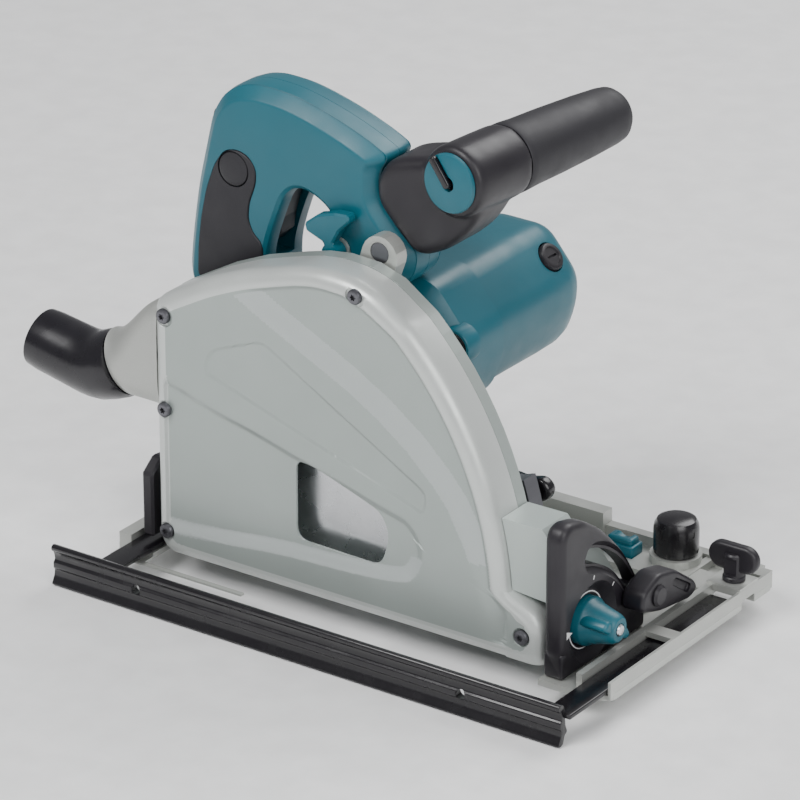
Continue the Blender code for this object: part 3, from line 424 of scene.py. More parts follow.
def dome(name, axis, outline, base, top, radius, mat, steps=3):
    """Raised pad: square at its base, rounded on its top face."""
    side = 1 if top > base else -1
    levels = [(base, 0.0)] + edge_levels(top, side, min(radius, abs(top - base)), radius, steps)
    loops = []
    for h, inset in levels:
        loops.append([at_axis(axis, a, b, h) for a, b in inset_line(outline, inset)])
    return rings(name, loops, mat)


def place(item, body, slot, *nodes):
    """Attach a finished piece to its body and hide the CAD nodes it stands for; the slot argument is not
    used.
    """
    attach(item, body)
    if nodes:
        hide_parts(*nodes)
    return item


def keep(node, mat, width=0.0):
    """Finish a CAD node that stays: new material and softened edges."""
    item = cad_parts[node]
    item.data.materials.clear()
    item.data.materials.append(mat)
    if width:
        step = item.modifiers.new("edges", "BEVEL")
        step.width = width * MM
        step.segments = 2
        step.limit_method = "ANGLE"
        step.angle_limit = radians(50)
        step.harden_normals = True
    return item


def inside_depth(x, z, outline):
    """Signed distance of points from a polygon's edge, positive inside."""
    best = np.full(x.shape, 1e9)
    inside = np.zeros(x.shape, bool)
    for i, (ax, az) in enumerate(outline):
        bx, bz = outline[(i + 1) % len(outline)]
        dx, dz = bx - ax, bz - az
        t = np.clip(((x - ax) * dx + (z - az) * dz) / (dx * dx + dz * dz + 1e-9), 0.0, 1.0)
        best = np.minimum(best, np.hypot(x - ax - t * dx, z - az - t * dz))
        crosses = (az > z) != (bz > z)
        at = ax + (z - az) * dx / (dz if dz else 1e-9)
        inside ^= crosses & (x < at)
    return np.where(inside, best, -best)


def ramp(value, low, high):
    t = np.clip((value - low) / (high - low), 0.0, 1.0)
    return t * t * (3 - 2 * t)


def by_rays(outline, centre, count):
    """Points where evenly spaced rays from the centre meet a polygon."""
    out = []
    for k in range(count):
        a = 2 * pi * k / count
        c, s = cos(a), sin(a)
        reach = 0.0
        for i, (ax, az) in enumerate(outline):
            bx, bz = outline[(i + 1) % len(outline)]
            dx, dz = bx - ax, bz - az
            cross = c * dz - s * dx
            if abs(cross) < 1e-9:
                continue
            far = ((ax - centre[0]) * dz - (az - centre[1]) * dx) / cross
            along = ((ax - centre[0]) * s - (az - centre[1]) * c) / cross
            if far > reach and -1e-6 <= along <= 1.000001:
                reach = far
        out.append((centre[0] + reach * c, centre[1] + reach * s))
    return out


POCKET = spline(((-170, 118), (-93, 107), (-46, 95.5), (15, 79.5), (36, 73), (45, 58), (41, 42), (24, 33.5),
                 (-46, 29), (-170, 27)), 6)
PLATEAU = ((-93.9, 187), (-66.4, 172), (-33.2, 156), (-10, 144.8), (13, 131.7), (34, 116.5), (51.5, 100),
           (61, 89), (72.7, 67.7), (81, 45), (88, 12), (-190, 12), (-190, 187))
PANEL = rounded(((-109, 130.5), (-103, 145.5), (-66, 160), (48.5, 94.5), (45.5, 80.5), (38, 84)), 7.0)
FOOT = ((103, 0), (103, 41), (140, 44), (140, 0))
WINDOW = rounded(((-44, 91), (-30, 91), (16, 73.5), (21.5, 60), (15.5, 40), (-4, 40.2), (-44, 41)), 8.0)


def face_relief(x, z, outline):
    """How far the near face lies behind its highest level, at each point."""
    edge = inside_depth(x, z, outline)
    plateau = inside_depth(x, z, PLATEAU)
    foot = inside_depth(x, z, FOOT)
    low = 1.7 * ramp(-plateau, 0.0, 17.0) * ramp(edge, 1.0, 4.5)
    pocket = inside_depth(x, z, POCKET)
    soft = np.where(z < 52, 9.0, 5.0)
    low = low + 1.9 * ramp(pocket / soft, -0.1, 1.0)
    low = low + 0.75 * ramp(inside_depth(x, z, PANEL), -0.2, 1.1)
    for height, slope in ((22.6, 0.015), (14.2, 0.012)):
        off = np.abs(z - height - slope * (x + 120))
        rib = ramp(1.9 - off, 0.0, 1.1) * ramp(x, -121, -119) * ramp(-x, -63, -61)
        low = low - 0.75 * rib
    return np.maximum(low, 0.0) * (1 - ramp(foot, -3.0, 0.0)) * ramp(edge, -0.5, 1.0)


def make_cover_looks():
    """Near case half with its rim in painted highlight, sloping facets partly in painted sheen, pocket, panel
    recess, ribs and window.
    """
    centre = (-20.0, 84.0)
    count = 400
    rim = ((CASE_PART, 0.0, 3.0), (-81.0, 0.0, 4.0), (-84.2, 0.5, 5.0), (-86.6, 1.7, 8.0), (-88.4, 3.4, 10.2),
           (-89.5, 5.4, 11.6), (-90.0, 8.0, 12.4))
    loops = []
    for y, inset, bottom in rim:
        loops.append([(x, y, z) for x, z in by_rays(fine_case(inset, bottom), centre, count)])
    border = by_rays(fine_case(8.0, 12.4), centre, count)
    steps = 125
    fractions = [1.0 - k / steps for k in range(1, steps)]
    x = np.array([[centre[0] + (p[0] - centre[0]) * f for p in border] for f in fractions])
    z = np.array([[centre[1] + (p[1] - centre[1]) * f for p in border] for f in fractions])
    low = face_relief(x, z, border)
    for row in range(len(fractions)):
        loops.append([(x[row, i], -90.0 + low[row, i], z[row, i]) for i in range(count)])
    back = []
    for y, inset, bottom in ((-66.0, 3.0, 4.5), (-81.5, 3.0, 5.5), (-86.6, 9.0, 13.0)):
        back.append([(px, y, pz) for px, pz in by_rays(fine_case(inset, bottom), centre, count)])
    cover = rings("case_cover_shell", list(reversed(loops)) + back, CASE)
    cut(cover, prism("w", "Y", WINDOW, -95, -80, CASE))
    cut(cover, box("mouth", (-139, -85.2, -10), (99, -60, 13.2), CASE))
    for index, (sx, sz) in enumerate(COVER_SCREWS):
        wide = 6.4 if index < 2 else 5.4
        profile = [(0, -95), (wide + 0.6, -95), (wide + 0.6, -90.2), (wide, -89.6), (wide, -88.6),
                   (2.6, -88.6), (2.6, -60), (0, -60)]
        cut(cover, lathe("c", "Y", (sx, sz), profile, CASE, 28))
    cover.data.materials.append(RIM_HIGHLIGHT)
    cover.data.materials.append(PAINTED_SHEEN)
    faces = cover.data.polygons
    mid = np.array([face.center for face in faces]) / MM
    edge = inside_depth(mid[:, 0], mid[:, 2], border)
    # Rim walls and the edge band take the painted-highlight copy of the case paint.
    ring = (edge < 2.2) | (mid[:, 1] > -87.6) & (edge < 9)
    plateau = -inside_depth(mid[:, 0], mid[:, 2], PLATEAU)
    pocket = inside_depth(mid[:, 0], mid[:, 2], POCKET)
    # The sloped ramp below the plateau and the pocket's lower ramp take the painted-sheen copy of the case
    # paint.
    sheen_ramp = (plateau > 1.0) & (plateau < 16.5) & (edge > 4) & (mid[:, 2] > 60)
    low_sheen_ramp = (pocket > 0) & (pocket < 9) & (mid[:, 2] < 52)
    slots = np.where(ring, 1, np.where(sheen_ramp | low_sheen_ramp, 2, 0))
    faces.foreach_set("material_index", slots.astype(np.int32))
    smooth(cover, 30)
    place(cover, "case", "case_silver_paint", "blade_cover")
    make_arrow()


def fine_case(inset, bottom):
    """Blade case contour with its corners rounded."""
    r = CASE_ARC_R - inset
    points = [(-138 + inset, bottom), (126.2 - inset, bottom)]
    points += [(126.2 - inset, 31.0), (115.8 - inset * 0.6, 43.0 - inset)]
    crown = arc(PIVOT_X, PIVOT_Z, r, 4.2, 46.5, 24)
    crown += [(11 - inset * 0.6, 206.0 - inset), (-6, 211.5 - inset), (-26, 212.5 - inset)]
    crown += [(-41 + inset * 0.2, 210.5 - inset), (-56 + inset * 0.3, 206.5 - inset)]
    crown += [(-84 + inset * 0.4, 198 - inset), (-107 + inset * 0.4, 188 - inset)]
    crown += [(-140 + inset * 0.7, 169.5 - inset * 0.8)]
    points += crown
    points += [(-145 + inset, 165.0 - inset * 0.8), (-145 + inset, 84.0), (-145 + inset, bottom + 6)]
    return rounded(points, 9.0, 4)


def make_arrow():
    """Thin raised outline of the blade's turning direction."""
    points = ((52, 74), (69, 64.5), (64.5, 60), (68, 40), (63.3, 40))
    line = prism("turning_arrow", "Y", offset(points, 0.4), -89.3, -88.0, CASE)
    cut(line, prism("a", "Y", offset(points, -0.4), -92, -86, CASE))
    place(line, "case", "case_silver_paint")


HANDLE_LINE = ((-152, 152), (-156, 166), (-155, 180), (-153, 196), (-149, 222), (-143, 247), (-138, 268),
               (-129, 282), (-117, 289), (-104, 291.6), (-84, 290.8), (-66, 287), (-46, 281), (-27, 273.5),
               (-13.4, 266.5), (-20.4, 256), (-20.4, 240), (-7.4, 226), (6, 213.6), (4, 200), (-4, 189.6),
               (-48, 189.6), (-60, 152))
FINGER_LINE = ((-97, 160), (-96.5, 190), (-93, 203), (-88, 217), (-83, 229), (-77, 235), (-69, 236.6),
               (-60, 233.5), (-51.5, 228), (-48, 218), (-47, 204), (-52, 196), (-70, 191), (-76, 160))
RUBBER_LINE = ((-144.4, 166), (-143.8, 185), (-141.6, 203), (-137.5, 222), (-131.5, 238.5), (-125, 248),
               (-116.5, 251.3), (-107.5, 249), (-102, 242), (-102.2, 233), (-107, 220.5), (-108, 210),
               (-104.5, 202), (-98.5, 197.5), (-97.8, 190), (-98.5, 166))


def make_handle_shells():
    """Two moulded halves with a chamfered near edge and a seam."""
    depths = ((19.85, 0.0), (14.0, 0.1), (8.6, 0.8), (8.2, 1.5), (7.7, 1.5), (7.3, 1.0), (1.0, 6.6),
              (0.25, 7.5), (0.0, 8.6))
    for name, node, face, side in (("handle_shell_near", "handle_near_half", HANDLE_NEAR, -1),
                                   ("handle_shell_far", "handle_far_half", HANDLE_FAR, 1)):
        loops = []
        for depth, inset in depths:
            line = rounded(offset(HANDLE_LINE, -inset), 12.0, 5)
            loops.append([(x, face - side * depth, z) for x, z in line])
        shell = rings(name, loops, TEAL)
        loops = []
        for depth, grow in ((22.0, 0.0), (4.0, 0.0), (1.6, 0.8), (0.4, 2.4), (-1.0, 4.5)):
            line = rounded(offset(FINGER_LINE, grow), 8.0, 5)
            loops.append([(x, face - side * depth, z) for x, z in line])
        cut(shell, rings("h", loops, TEAL))
        cut(shell, box("s", (-130, -34.2, 184), (-80, -15.8, 244), TEAL))
        cut(shell, box("t", (-144.2, -34.2, 190), (-129, -15.8, 226), TEAL))
        if side < 0:
            pad_line = rounded(offset(RUBBER_LINE, 0.3), 4.0, 3)
            cut(shell, prism("p", "Y", pad_line, -50, -44.2, TEAL))
            cut(shell, rod("l", "Y", (THUMB_X, THUMB_Z), 11.6, -50, -30, TEAL, 32))
        else:
            cut(shell, rod("d", "Y", (-134, 178), 11.4, -8, 0, TEAL, 32))
        place(smooth(shell, 32), "motor_unit", "teal_plastic", node)


def make_handle_pads():
    """Rubber pads on the near side and the spine, and the flush thumb button."""
    pad = dome("near_grip_pad", "Y", soft(RUBBER_LINE, 4.0, 3), -44.3, -46.0, 1.0, RUBBER)
    cut(pad, rod("b", "Y", (THUMB_X, THUMB_Z), 10.9, -50, -30, RUBBER, 32))
    place(smooth(pad), "motor_unit", "black_rubber", "grip_rubber_near")
    spine = [(-156.4, 168), (-153.6, 196), (-149.6, 222), (-143.6, 247), (-138.6, 268)]
    inner = [(x + 3.0, z) for x, z in reversed(spine)]
    loops = []
    for y, push in ((-38, 2.2), (-35, 0.6), (-30, 0.0), (-20, 0.0), (-15, 0.6), (-12, 2.2)):
        loops.append([(x + push, y, z) for x, z in spine] + [(x + 2.4, y, z) for x, z in inner])
    place(smooth(rings("rear_grip_pad", loops, RUBBER), 40), "motor_unit", "black_rubber",
          "grip_rubber_spine")
    profile = [(0, -46.9), (5.5, -46.8), (8.6, -46.5), (9.9, -46.0), (10.4, -45.0), (10.4, -37.6), (0, -37.6)]
    button = smooth(lathe("thumb_button", "Y", (THUMB_X, THUMB_Z), profile, RUBBER, 40))
    place(button, "button", "black_plastic", "lock_off_button")


def can_section(y, scale, grow=0.0):
    """Facetted motor can contour at one station along its axis."""
    base = ((42.6, 12), (18.8, 40.6), (-18, 41), (-36, 27), (-42.4, 8), (-42, -12), (-32, -29), (-13, -42),
            (14, -42), (34, -29), (42, -8))
    line = rounded(offset([(a * scale, b * scale) for a, b in base], grow), 9.0, 5)
    return [(MOTOR_X + a, y, MOTOR_Z + b) for a, b in line]


def make_motor_can():
    """Facetted teal can with a wider front collar, vents and a slanted end."""
    stations = ((-28.4, 0.84, 0), (-27.4, 0.88, 0), (-22, 1.0, 0.6), (-20, 1.0, 2.4), (14.4, 1.0, 2.4),
                (15.6, 1.0, 1.2))
    stations += ((15.8, 1.0, -0.6), (40, 1.0, -0.6), (72, 1.0, -0.2), (90, 0.99, 0), (97, 0.96, 0),
                 (102, 0.90, 0))
    stations += ((106, 0.82, 0), (108.8, 0.72, 0), (109.7, 0.60, 0), (110, 0.30, 0))
    can = rings("motor_can", [can_section(*station) for station in stations], TEAL)
    for side in (-1, 1):
        seat = rod("b", "X", (BRUSH_Y, MOTOR_Z), 9.6, MOTOR_X + side * 26, MOTOR_X + side * 60, TEAL, 40)
        cut(can, brush_turn(seat))
    for k in range(4):
        line = ((-62, 137 + 10 * k), (-34, 137 + 10 * k), (-34, 141 + 10 * k), (-62, 141 + 10 * k))
        cut(can, prism("v", "Y", rounded(line, 1.5, 2), 72, 94, TEAL))
    for k in range(-3, 4):
        slit = rounded(((MOTOR_X - 20, MOTOR_Z + 6 * k - 1.3), (MOTOR_X + 20, MOTOR_Z + 6 * k - 1.3),
                        (MOTOR_X + 20, MOTOR_Z + 6 * k + 1.3), (MOTOR_X - 20, MOTOR_Z + 6 * k + 1.3)), 1.2, 2)
        cut(can, prism("v", "Y", slit, 105, 115, TEAL))
    place(smooth(can, 24), "motor_unit", "teal_plastic", "motor_housing")


def make_brush_caps():
    """Slotted round caps over the two brushes."""
    for index, side in enumerate((-1, 1)):
        stem, skin = MOTOR_X + side * 27.6, MOTOR_X + side * 42.4
        profile = [(0, stem), (8.6, stem), (8.6, skin - side * 1.2), (8.0, skin - side * 0.3), (7.2, skin),
                   (5.9, skin), (5.5, skin - side * 0.7), (0, skin - side * 0.7)]
        cap = lathe("brush_cap_face_%d" % (index + 1), "X", (BRUSH_Y, MOTOR_Z), profile, BLACK, 40)
        low, high = sorted((skin - side * 2.2, skin + side))
        cut(cap, box("s", (low, BRUSH_Y - 4.2, MOTOR_Z - 0.7), (high, BRUSH_Y + 4.2, MOTOR_Z + 0.7), BLACK))
        place(smooth(brush_turn(cap)), "motor_unit", "black_plastic", "brush_cap_%d" % (index + 1))


def make_side_plug():
    """Black plug in a teal collar on the can's front face."""
    ring = lathe("plug_collar", "Y", (23, 156),
                 [(9, -16), (11.6, -16), (11.6, -27.4), (11.0, -28.3), (9.6, -28.3), (9, -27.8)], TEAL, 40)
    place(smooth(ring), "motor_unit", "teal_plastic")
    plug = lathe("side_plug", "Y", (23, 156),
                 [(0, -16), (8.8, -16), (8.8, -27.0), (7.8, -27.8), (0, -28.2)], GLOSS, 40)
    place(smooth(plug), "motor_unit", "black_plastic")


def brush_turn(item):
    """Swing a piece laid out along X round the motor axis to the brush line."""
    centre = Vector((MOTOR_X, 0, MOTOR_Z)) * MM
    turn = Matrix.Rotation(radians(-BRUSH_ANGLE), 4, "Y")
    item.data.transform(Matrix.Translation(centre) @ turn @ Matrix.Translation(-centre))
    return item


def grip_matrix():
    """Local Z along the front grip's axis, pointing to its far end."""
    axis = Vector((0.08, 1.0, -0.017)).normalized()
    side = Vector((1, 0, 0))
    up = axis.cross(side).normalized()
    side = up.cross(axis).normalized()
    turn = Matrix((side, up, axis)).transposed().to_4x4()
    return Matrix.Translation(Vector((35.8, -52.0, 266.8)) * MM) @ turn


def on_grip(item):
    item.data.transform(grip_matrix())
    return smooth(item)


def melt(item, voxel, turns):
    """Blend the joins of a fused piece like a moulding."""
    step = item.modifiers.new("voxels", "REMESH")
    step.mode = "VOXEL"
    step.voxel_size = voxel * MM
    evaluate(item)
    step = item.modifiers.new("soften", "SMOOTH")
    step.factor = 0.5
    step.iterations = turns
    evaluate(item)
    return item


def make_grip_neck():
    """Moulded neck that blends the handle's nose into the grip's collar."""
    line = ((-12.4, 266.2), (-19.4, 255.8), (-19.4, 240.6), (-6.6, 226.6), (6.4, 214.6), (15, 215.2),
            (28, 221.5), (41, 233), (50, 246), (54, 262), (40, 278), (12, 274), (-4, 270))
    neck = slab("neck_moulding", "Y", soft(line, 6.0, 4), -45.2, -6, 7.0, BLACK, 4)
    profile = [(0, 2.6), (18.4, 2.6), (20.6, 4.2), (21.3, 8), (21.5, 30), (21.4, 46), (20.9, 50), (0, 50)]
    collar = lathe("c", "Z", (0, 0), profile, BLACK, 64)
    collar.data.transform(grip_matrix())
    fuse(neck, collar)
    melt(neck, 1.3, 7)
    keeper = lathe("k", "Z", (0, 0), [(0, 2.4), (18.6, 2.4), (18.6, -8), (0, -8)], BLACK, 64)
    keeper.data.transform(grip_matrix())
    end = lathe("e", "Z", (0, 0), [(0, 49.9), (40, 49.9), (40, 70), (0, 70)], BLACK, 64)
    end.data.transform(grip_matrix())
    bore = rod("b", "Z", (0, 0), 4.2, -5, 60, BLACK, 24)
    bore.data.transform(grip_matrix())
    cut(neck, keeper, end, bore)
    place(smooth(neck, 40), "motor_unit", "black_plastic", "grip_neck")


def make_rubber_grip():
    """Tapered front grip."""
    profile = [(0, 50.4), (20.4, 50.4), (20.9, 51.2), (20.9, 56), (20.3, 66), (19.8, 90), (18.6, 122),
               (17.4, 142), (16.6, 147.4), (14.6, 150.6), (11.0, 152.0), (0, 152.4)]
    grip = on_grip(lathe("rubber_grip", "Z", (0, 0), profile, RUBBER, 64))
    place(grip, "motor_unit", "black_rubber", "front_grip")


def make_key_holder():
    """Teal cap with its slot and the stored hex key."""
    profile = [(4.2, -0.6), (15.4, -0.6), (17.0, 0.0), (17.5, 1.2), (17.5, 2.3), (4.2, 2.3)]
    cap = lathe("key_holder_cap", "Z", (0, 0), profile, TEAL, 64)
    turn = Matrix.Rotation(radians(-KEY_LEAN), 4, "Z")
    slot = slab("s", "Z", soft(((-3.2, -22), (3.2, -22), (3.2, 4.4), (-3.2, 4.4)), 3.0, 4), -4, 0.9, 0.2,
                TEAL)
    slot.data.transform(turn)
    cut(cap, slot)
    place(on_grip(cap), "motor_unit", "teal_plastic", "grip_cap")
    foot = slab("key_foot", "Z", soft(((-2.3, -17.6), (2.3, -17.6), (2.3, 2.3), (-2.3, 2.3)), 2.2, 4),
                -3.2, 0.5, 1.0, GLOSS)
    foot.data.transform(turn)
    shank = lathe("k", "Z", (0, 0), [(0, -0.5), (2.6, -0.5), (2.6, 118), (0, 118)], GLOSS, 6)
    fuse(foot, shank)
    place(on_grip(foot), "key", "dark_steel", "hex_key")


def quadrant_outline():
    points = [(-92, 12.4), (-92, 90), (-89, 96), (-82.7, 98), (-69, 95), (-51, 83.5), (-39, 72.5)]
    points += [(-30, 63.5), (-18, 48.6), (-9, 34.5), (-4.5, 26), (-4, 12.4)]
    return points


def make_quadrant_looks():
    """Moulded upright with its curved slot, dished dial seat and plain printed marks."""
    body = slab("bevel_upright", "X", soft(quadrant_outline(), 10.0, 5), 128, 141, 4.5, BLACK, 5)
    foot = slab("f", "X", soft(((-91, 4.4), (-91, 20), (-5, 20), (-5, 4.4)), 2.0, 3), 128.2, 140.8, 1.5,
                BLACK)
    fuse(body, foot)
    ends = (SLOT_START - 1.6, SLOT_START + TILT_MAX + 0.6)
    cut(body, prism("s", "X", arc_slot(TILT_Y, TILT_Z, SLOT_R, 4.6, *ends, 24), 120, 150, BLACK))
    loops = []
    for x, half in ((137.4, 6.2), (138.6, 6.6), (141.6, 10.0)):
        loops.append([(x, y, z) for y, z in arc_slot(TILT_Y, TILT_Z, SLOT_R, half, *ends, 24)])
    cut(body, rings("r", loops, BLACK))
    seat = [(0, 134.6), (15.4, 134.6), (15.4, 135.8), (18.4, 135.8), (24.5, 141.2), (24.5, 150), (0, 150)]
    cut(body, lathe("k", "X", (DIAL_Y, DIAL_Z), seat, BLACK, 56))
    cut(body, rod("b", "X", (DIAL_Y, DIAL_Z), 5.3, 126, 136, BLACK, 24))
    cut(body, box("c", (127, -49.3, 3), (133.3, 0, 9.3), BLACK))
    place(smooth(body, 32), "base", "black_plastic", "front_bevel_quadrant")
    marks = (("dial_ring_print", arc_slot(DIAL_Y, DIAL_Z, 16.8, 0.35, 20, 330, 40), 135.7, 136.0),
             ("pointer_print", [(-87.0, 33.4), (-81.5, 31), (-87.0, 28.6)], 140.95, 141.1))
    for name, line, low, high in marks:
        place(prism(name, "X", line, low, high, PRINT), "base", "black_plastic")
    for index, angle in enumerate((SLOT_START, SLOT_START + 22.5, SLOT_START + 45.0)):
        c, s = cos(radians(angle)), sin(radians(angle))
        line = [(TILT_Y + c * r - s * w, TILT_Z + s * r + c * w) for r,
                w in ((59, -0.35), (59, 0.35), (61.5, 0.35), (61.5, -0.35))]
        mark = prism("scale_mark_%d" % (index + 1), "X", line, 140.95, 141.08, PRINT)
        place(mark, "base", "black_plastic")


def make_preset_knob():
    """Bevel preset: tapered drum with a finger wing and a bright tip."""
    profile = [(0, 126.6), (5.0, 126.6), (5.0, 134.8), (14.6, 134.8), (14.6, 139.5), (14.0, 140.8),
               (12.4, 143), (10.4, 150), (9.0, 156), (7.8, 158.2), (6.8, 159), (4.0, 159), (3.7, 158),
               (0, 158)]
    knob = lathe("preset_drum", "X", (DIAL_Y, DIAL_Z), profile, TEAL, 48)
    wing = slab("w", "X",
                soft(((-74.2, 33.5), (-70, 38), (-49, 26), (-46.5, 20.5), (-50, 18.5), (-71, 30)), 3.0, 4),
                139, 158, 2.2, TEAL, 4)
    fuse(knob, wing)
    place(smooth(knob, 32), "stopper", "teal_plastic", "bevel_stopper_knob")
    tip = lathe("preset_tip", "X", (DIAL_Y, DIAL_Z),
                [(0, 157), (3.5, 157), (3.5, 159.2), (2.8, 160), (0, 160.4)], STEEL, 28)
    place(smooth(tip), "stopper", "bright_steel")


def make_clamp_wedge():
    """Front bevel clamp: chunky wedge with a round boss and a finger hollow."""
    profile = [(0, 114), (3.7, 114), (3.7, 137.9), (6.6, 137.9), (6.6, 141.6), (0, 141.6)]
    bolt = lathe("clamp_wedge", "X", (CLAMP_Y, CLAMP_Z), profile, BLACK, 28)
    line = soft(((-33, 27), (-31, 38), (-14, 44.5), (4, 40), (25, 25), (28, 19), (20, 15.4), (-12, 20)),
                4.0, 4)
    wedge = slab("p", "X", line, 141.4, 156.5, 2.6, BLACK, 4)
    hollow = slab("d", "X", soft(((-2, 33), (2, 36.5), (20, 25), (16, 20.5)), 3.0, 3), 154.4, 160, 1.0, BLACK)
    fuse(bolt, wedge)
    cut(bolt, hollow)
    fuse(bolt,
         lathe("e", "X", (-16, 32), [(0, 155), (6.4, 155), (6.4, 157.6), (5.0, 159), (0, 159.3)], BLACK,
               32))
    place(smooth(bolt, 32), "front_clamp", "black_plastic", "front_clamp_lever")


def make_rail_knob():
    """Glossy round knob with small notches."""
    profile = [(0, 5.4), (5.0, 5.4), (5.0, 14.1), (12.6, 14.1), (13.3, 14.8), (13.6, 16.5), (13.6, 29.5),
               (13.1, 32.5), (11.6, 35.2), (9.2, 36.3), (0, 36.5)]
    rail = lathe("rail_cap", "Z", (115, 70), profile, GLOSS, 56)
    for k in range(8):
        t = radians(45 * k + 12)
        cut(rail, rod("n", "Z", (115 + 14.3 * cos(t), 70 + 14.3 * sin(t)), 1.7, 12, 17.6, GLOSS, 14))
        cut(rail,
            rod("n", "Z", (115 + 14.0 * cos(t + 0.4), 70 + 14.0 * sin(t + 0.4)), 0.9, 27, 40, GLOSS, 10))
    place(smooth(rail, 30), "rail_knob", "black_plastic", "rail_adjust_knob")


def make_fence_wings():
    """Stadium-shaped thumb plates on round stems."""
    reach = 8.0
    for name, node, body, x in (("front_fence_wing", "front_wing_screw", "front_wing", 162.0),
                                ("rear_fence_wing", "rear_wing_screw", "rear_wing", -155.0)):
        profile = [(0, 7.8), (3.0, 7.8), (3.0, 14.3), (6.8, 14.3), (6.8, 16.6), (6.2, 17.2), (6.2, 30.5),
                   (5.4, 31.6), (0, 31.8)]
        stem = lathe(name, "Z", (x, 58), profile, BLACK, 36)
        line = hull(disc(x - reach, 28.4, 8.5, 28) + disc(x + reach, 28.4, 8.5, 28))
        fuse(stem, slab("w", "Y", line, 54.6, 61.4, 2.4, BLACK, 4))
        cut(stem, box("n", (x - 8, 50, 18.5), (x + 8, 53.4, 29), BLACK))
        place(smooth(stem, 32), body, "black_plastic", node)


def make_depth_stop_wing():
    """Lobed knob that locks the depth stop."""
    centre = (PIVOT_X + 206 * cos(radians(15.5)), PIVOT_Z + 206 * sin(radians(15.5)))
    profile = [(0, -52), (3.0, -52), (3.0, -41.6), (8.4, -41.6), (9.6, -40), (9.6, -36), (8, -33), (0, -33)]
    stop = lathe("depth_stop_wing", "Y", centre, profile, GLOSS, 40)
    wing = soft([(centre[0] + a, centre[1] + b) for a, b in
                 ((-15, 5), (-9, 8), (0, 7), (12, 10), (18, 4), (15, -4), (0, -8), (-14, -3))], 5.0, 4)
    fuse(stop, slab("w", "Y", wing, -37.4, -28.6, 2.8, GLOSS, 4))
    place(smooth(stop, 34), "stop_knob", "black_plastic", "depth_stop_knob")


def make_rail_catch():
    """Teal slider with a finger scoop."""
    line = soft(((72.2, 57.2), (92.8, 57.2), (92.8, 69.8), (72.2, 69.8)), 2.0, 3)
    catch = slab("rail_catch", "Z", line, 5.8, 14.5, 1.2, TEAL)
    grip = slab("g", "Z", soft(((74, 59), (91, 59), (91, 68.6), (74, 68.6)), 2.0, 3), 13, 18.3, 1.6, TEAL)
    fuse(catch, grip)
    cut(catch, rod("s", "Y", (82.5, 21.5), 6.2, 61.5, 75, TEAL, 28))
    place(smooth(catch, 32), "slider", "teal_plastic", "anti_tip_slider")


def make_rule_looks():
    """Fence bar with a pressed channel, rolled lips and holes, on its two arms."""
    section = ((-123.6, -5), (-125.4, -1), (-126.2, 5), (-126.6, 10.6), (-128.4, 13.4), (-131.2, 14),
               (-132.8, 12.4), (-132.2, 10.2), (-130.6, 9.2), (-129.6, 6.4), (-129.4, 3.6), (-130.9, 2.4),
               (-130.9, -1.2), (-129.8, -2.6), (-130.2, -6), (-131.4, -8.4), (-132.85, -11.2),
               (-131.8, -12), (-128, -12), (-127, -9), (-126.4, -6.4))
    bar = slab("fence_bar", "X", soft(section, 1.2, 3), -190, 166, 0.3, GLOSS, 2)
    for x in (-129, 99):
        cut(bar, rod("h", "Y", (x, 0.6), 3.2, -140, -118, GLOSS, 28))
    for x0, x1 in ((154, 170), (-163, -146.9)):
        arm = slab("a", "Y", soft(((x0, 4.5), (x1, 4.5), (x1, 7.5), (x0, 7.5)), 0.8, 3), -127, 45, 0.4, GLOSS)
        fuse(bar, arm)
    place(smooth(bar, 40), "rule", "black_plastic", "guide_rule")


def make_swivel_elbow():
    """Rubber elbow with a thick lip at its open end."""
    path = ((-177.6, 113.7, -26.6), (-181, 111.8, -26), (-187, 109.4, -20), (-193, 107.4, -13),
            (-198, 106.8, -5), (-203, 106.9, 2), (-208.5, 107.6, 7), (-214, 108.6, 10), (-226, 110.8, 10),
            (-233, 112.1, 10), (-240, 113.4, 10))
    outer = (20.3, 21.0, 21.0, 20.8, 20.3, 19.8, 19.3, 19.1, 18.8, 18.7, 18.0)
    inner = (16.4, 15.6, 16.6, 17.0, 17.0, 17.0, 16.8, 16.6, 16.4, 16.4, 16.8)
    loops = []
    for radii in (outer, inner):
        part = []
        for (x, z, climb), r in zip(path, radii):
            up = (sin(radians(climb)), cos(radians(climb)))
            ring = [2 * pi * i / 64 for i in range(64)]
            part.append([(x + r * sin(a) * up[0], DUST_PORT[1] + r * cos(a),
                          z + r * sin(a) * up[1]) for a in ring])
        loops.append(part)
    elbow = rings("swivel_elbow", loops[0] + list(reversed(loops[1])), HOSE, closed=True)
    place(smooth(elbow, 50), "nozzle", "black_rubber", "dust_nozzle")


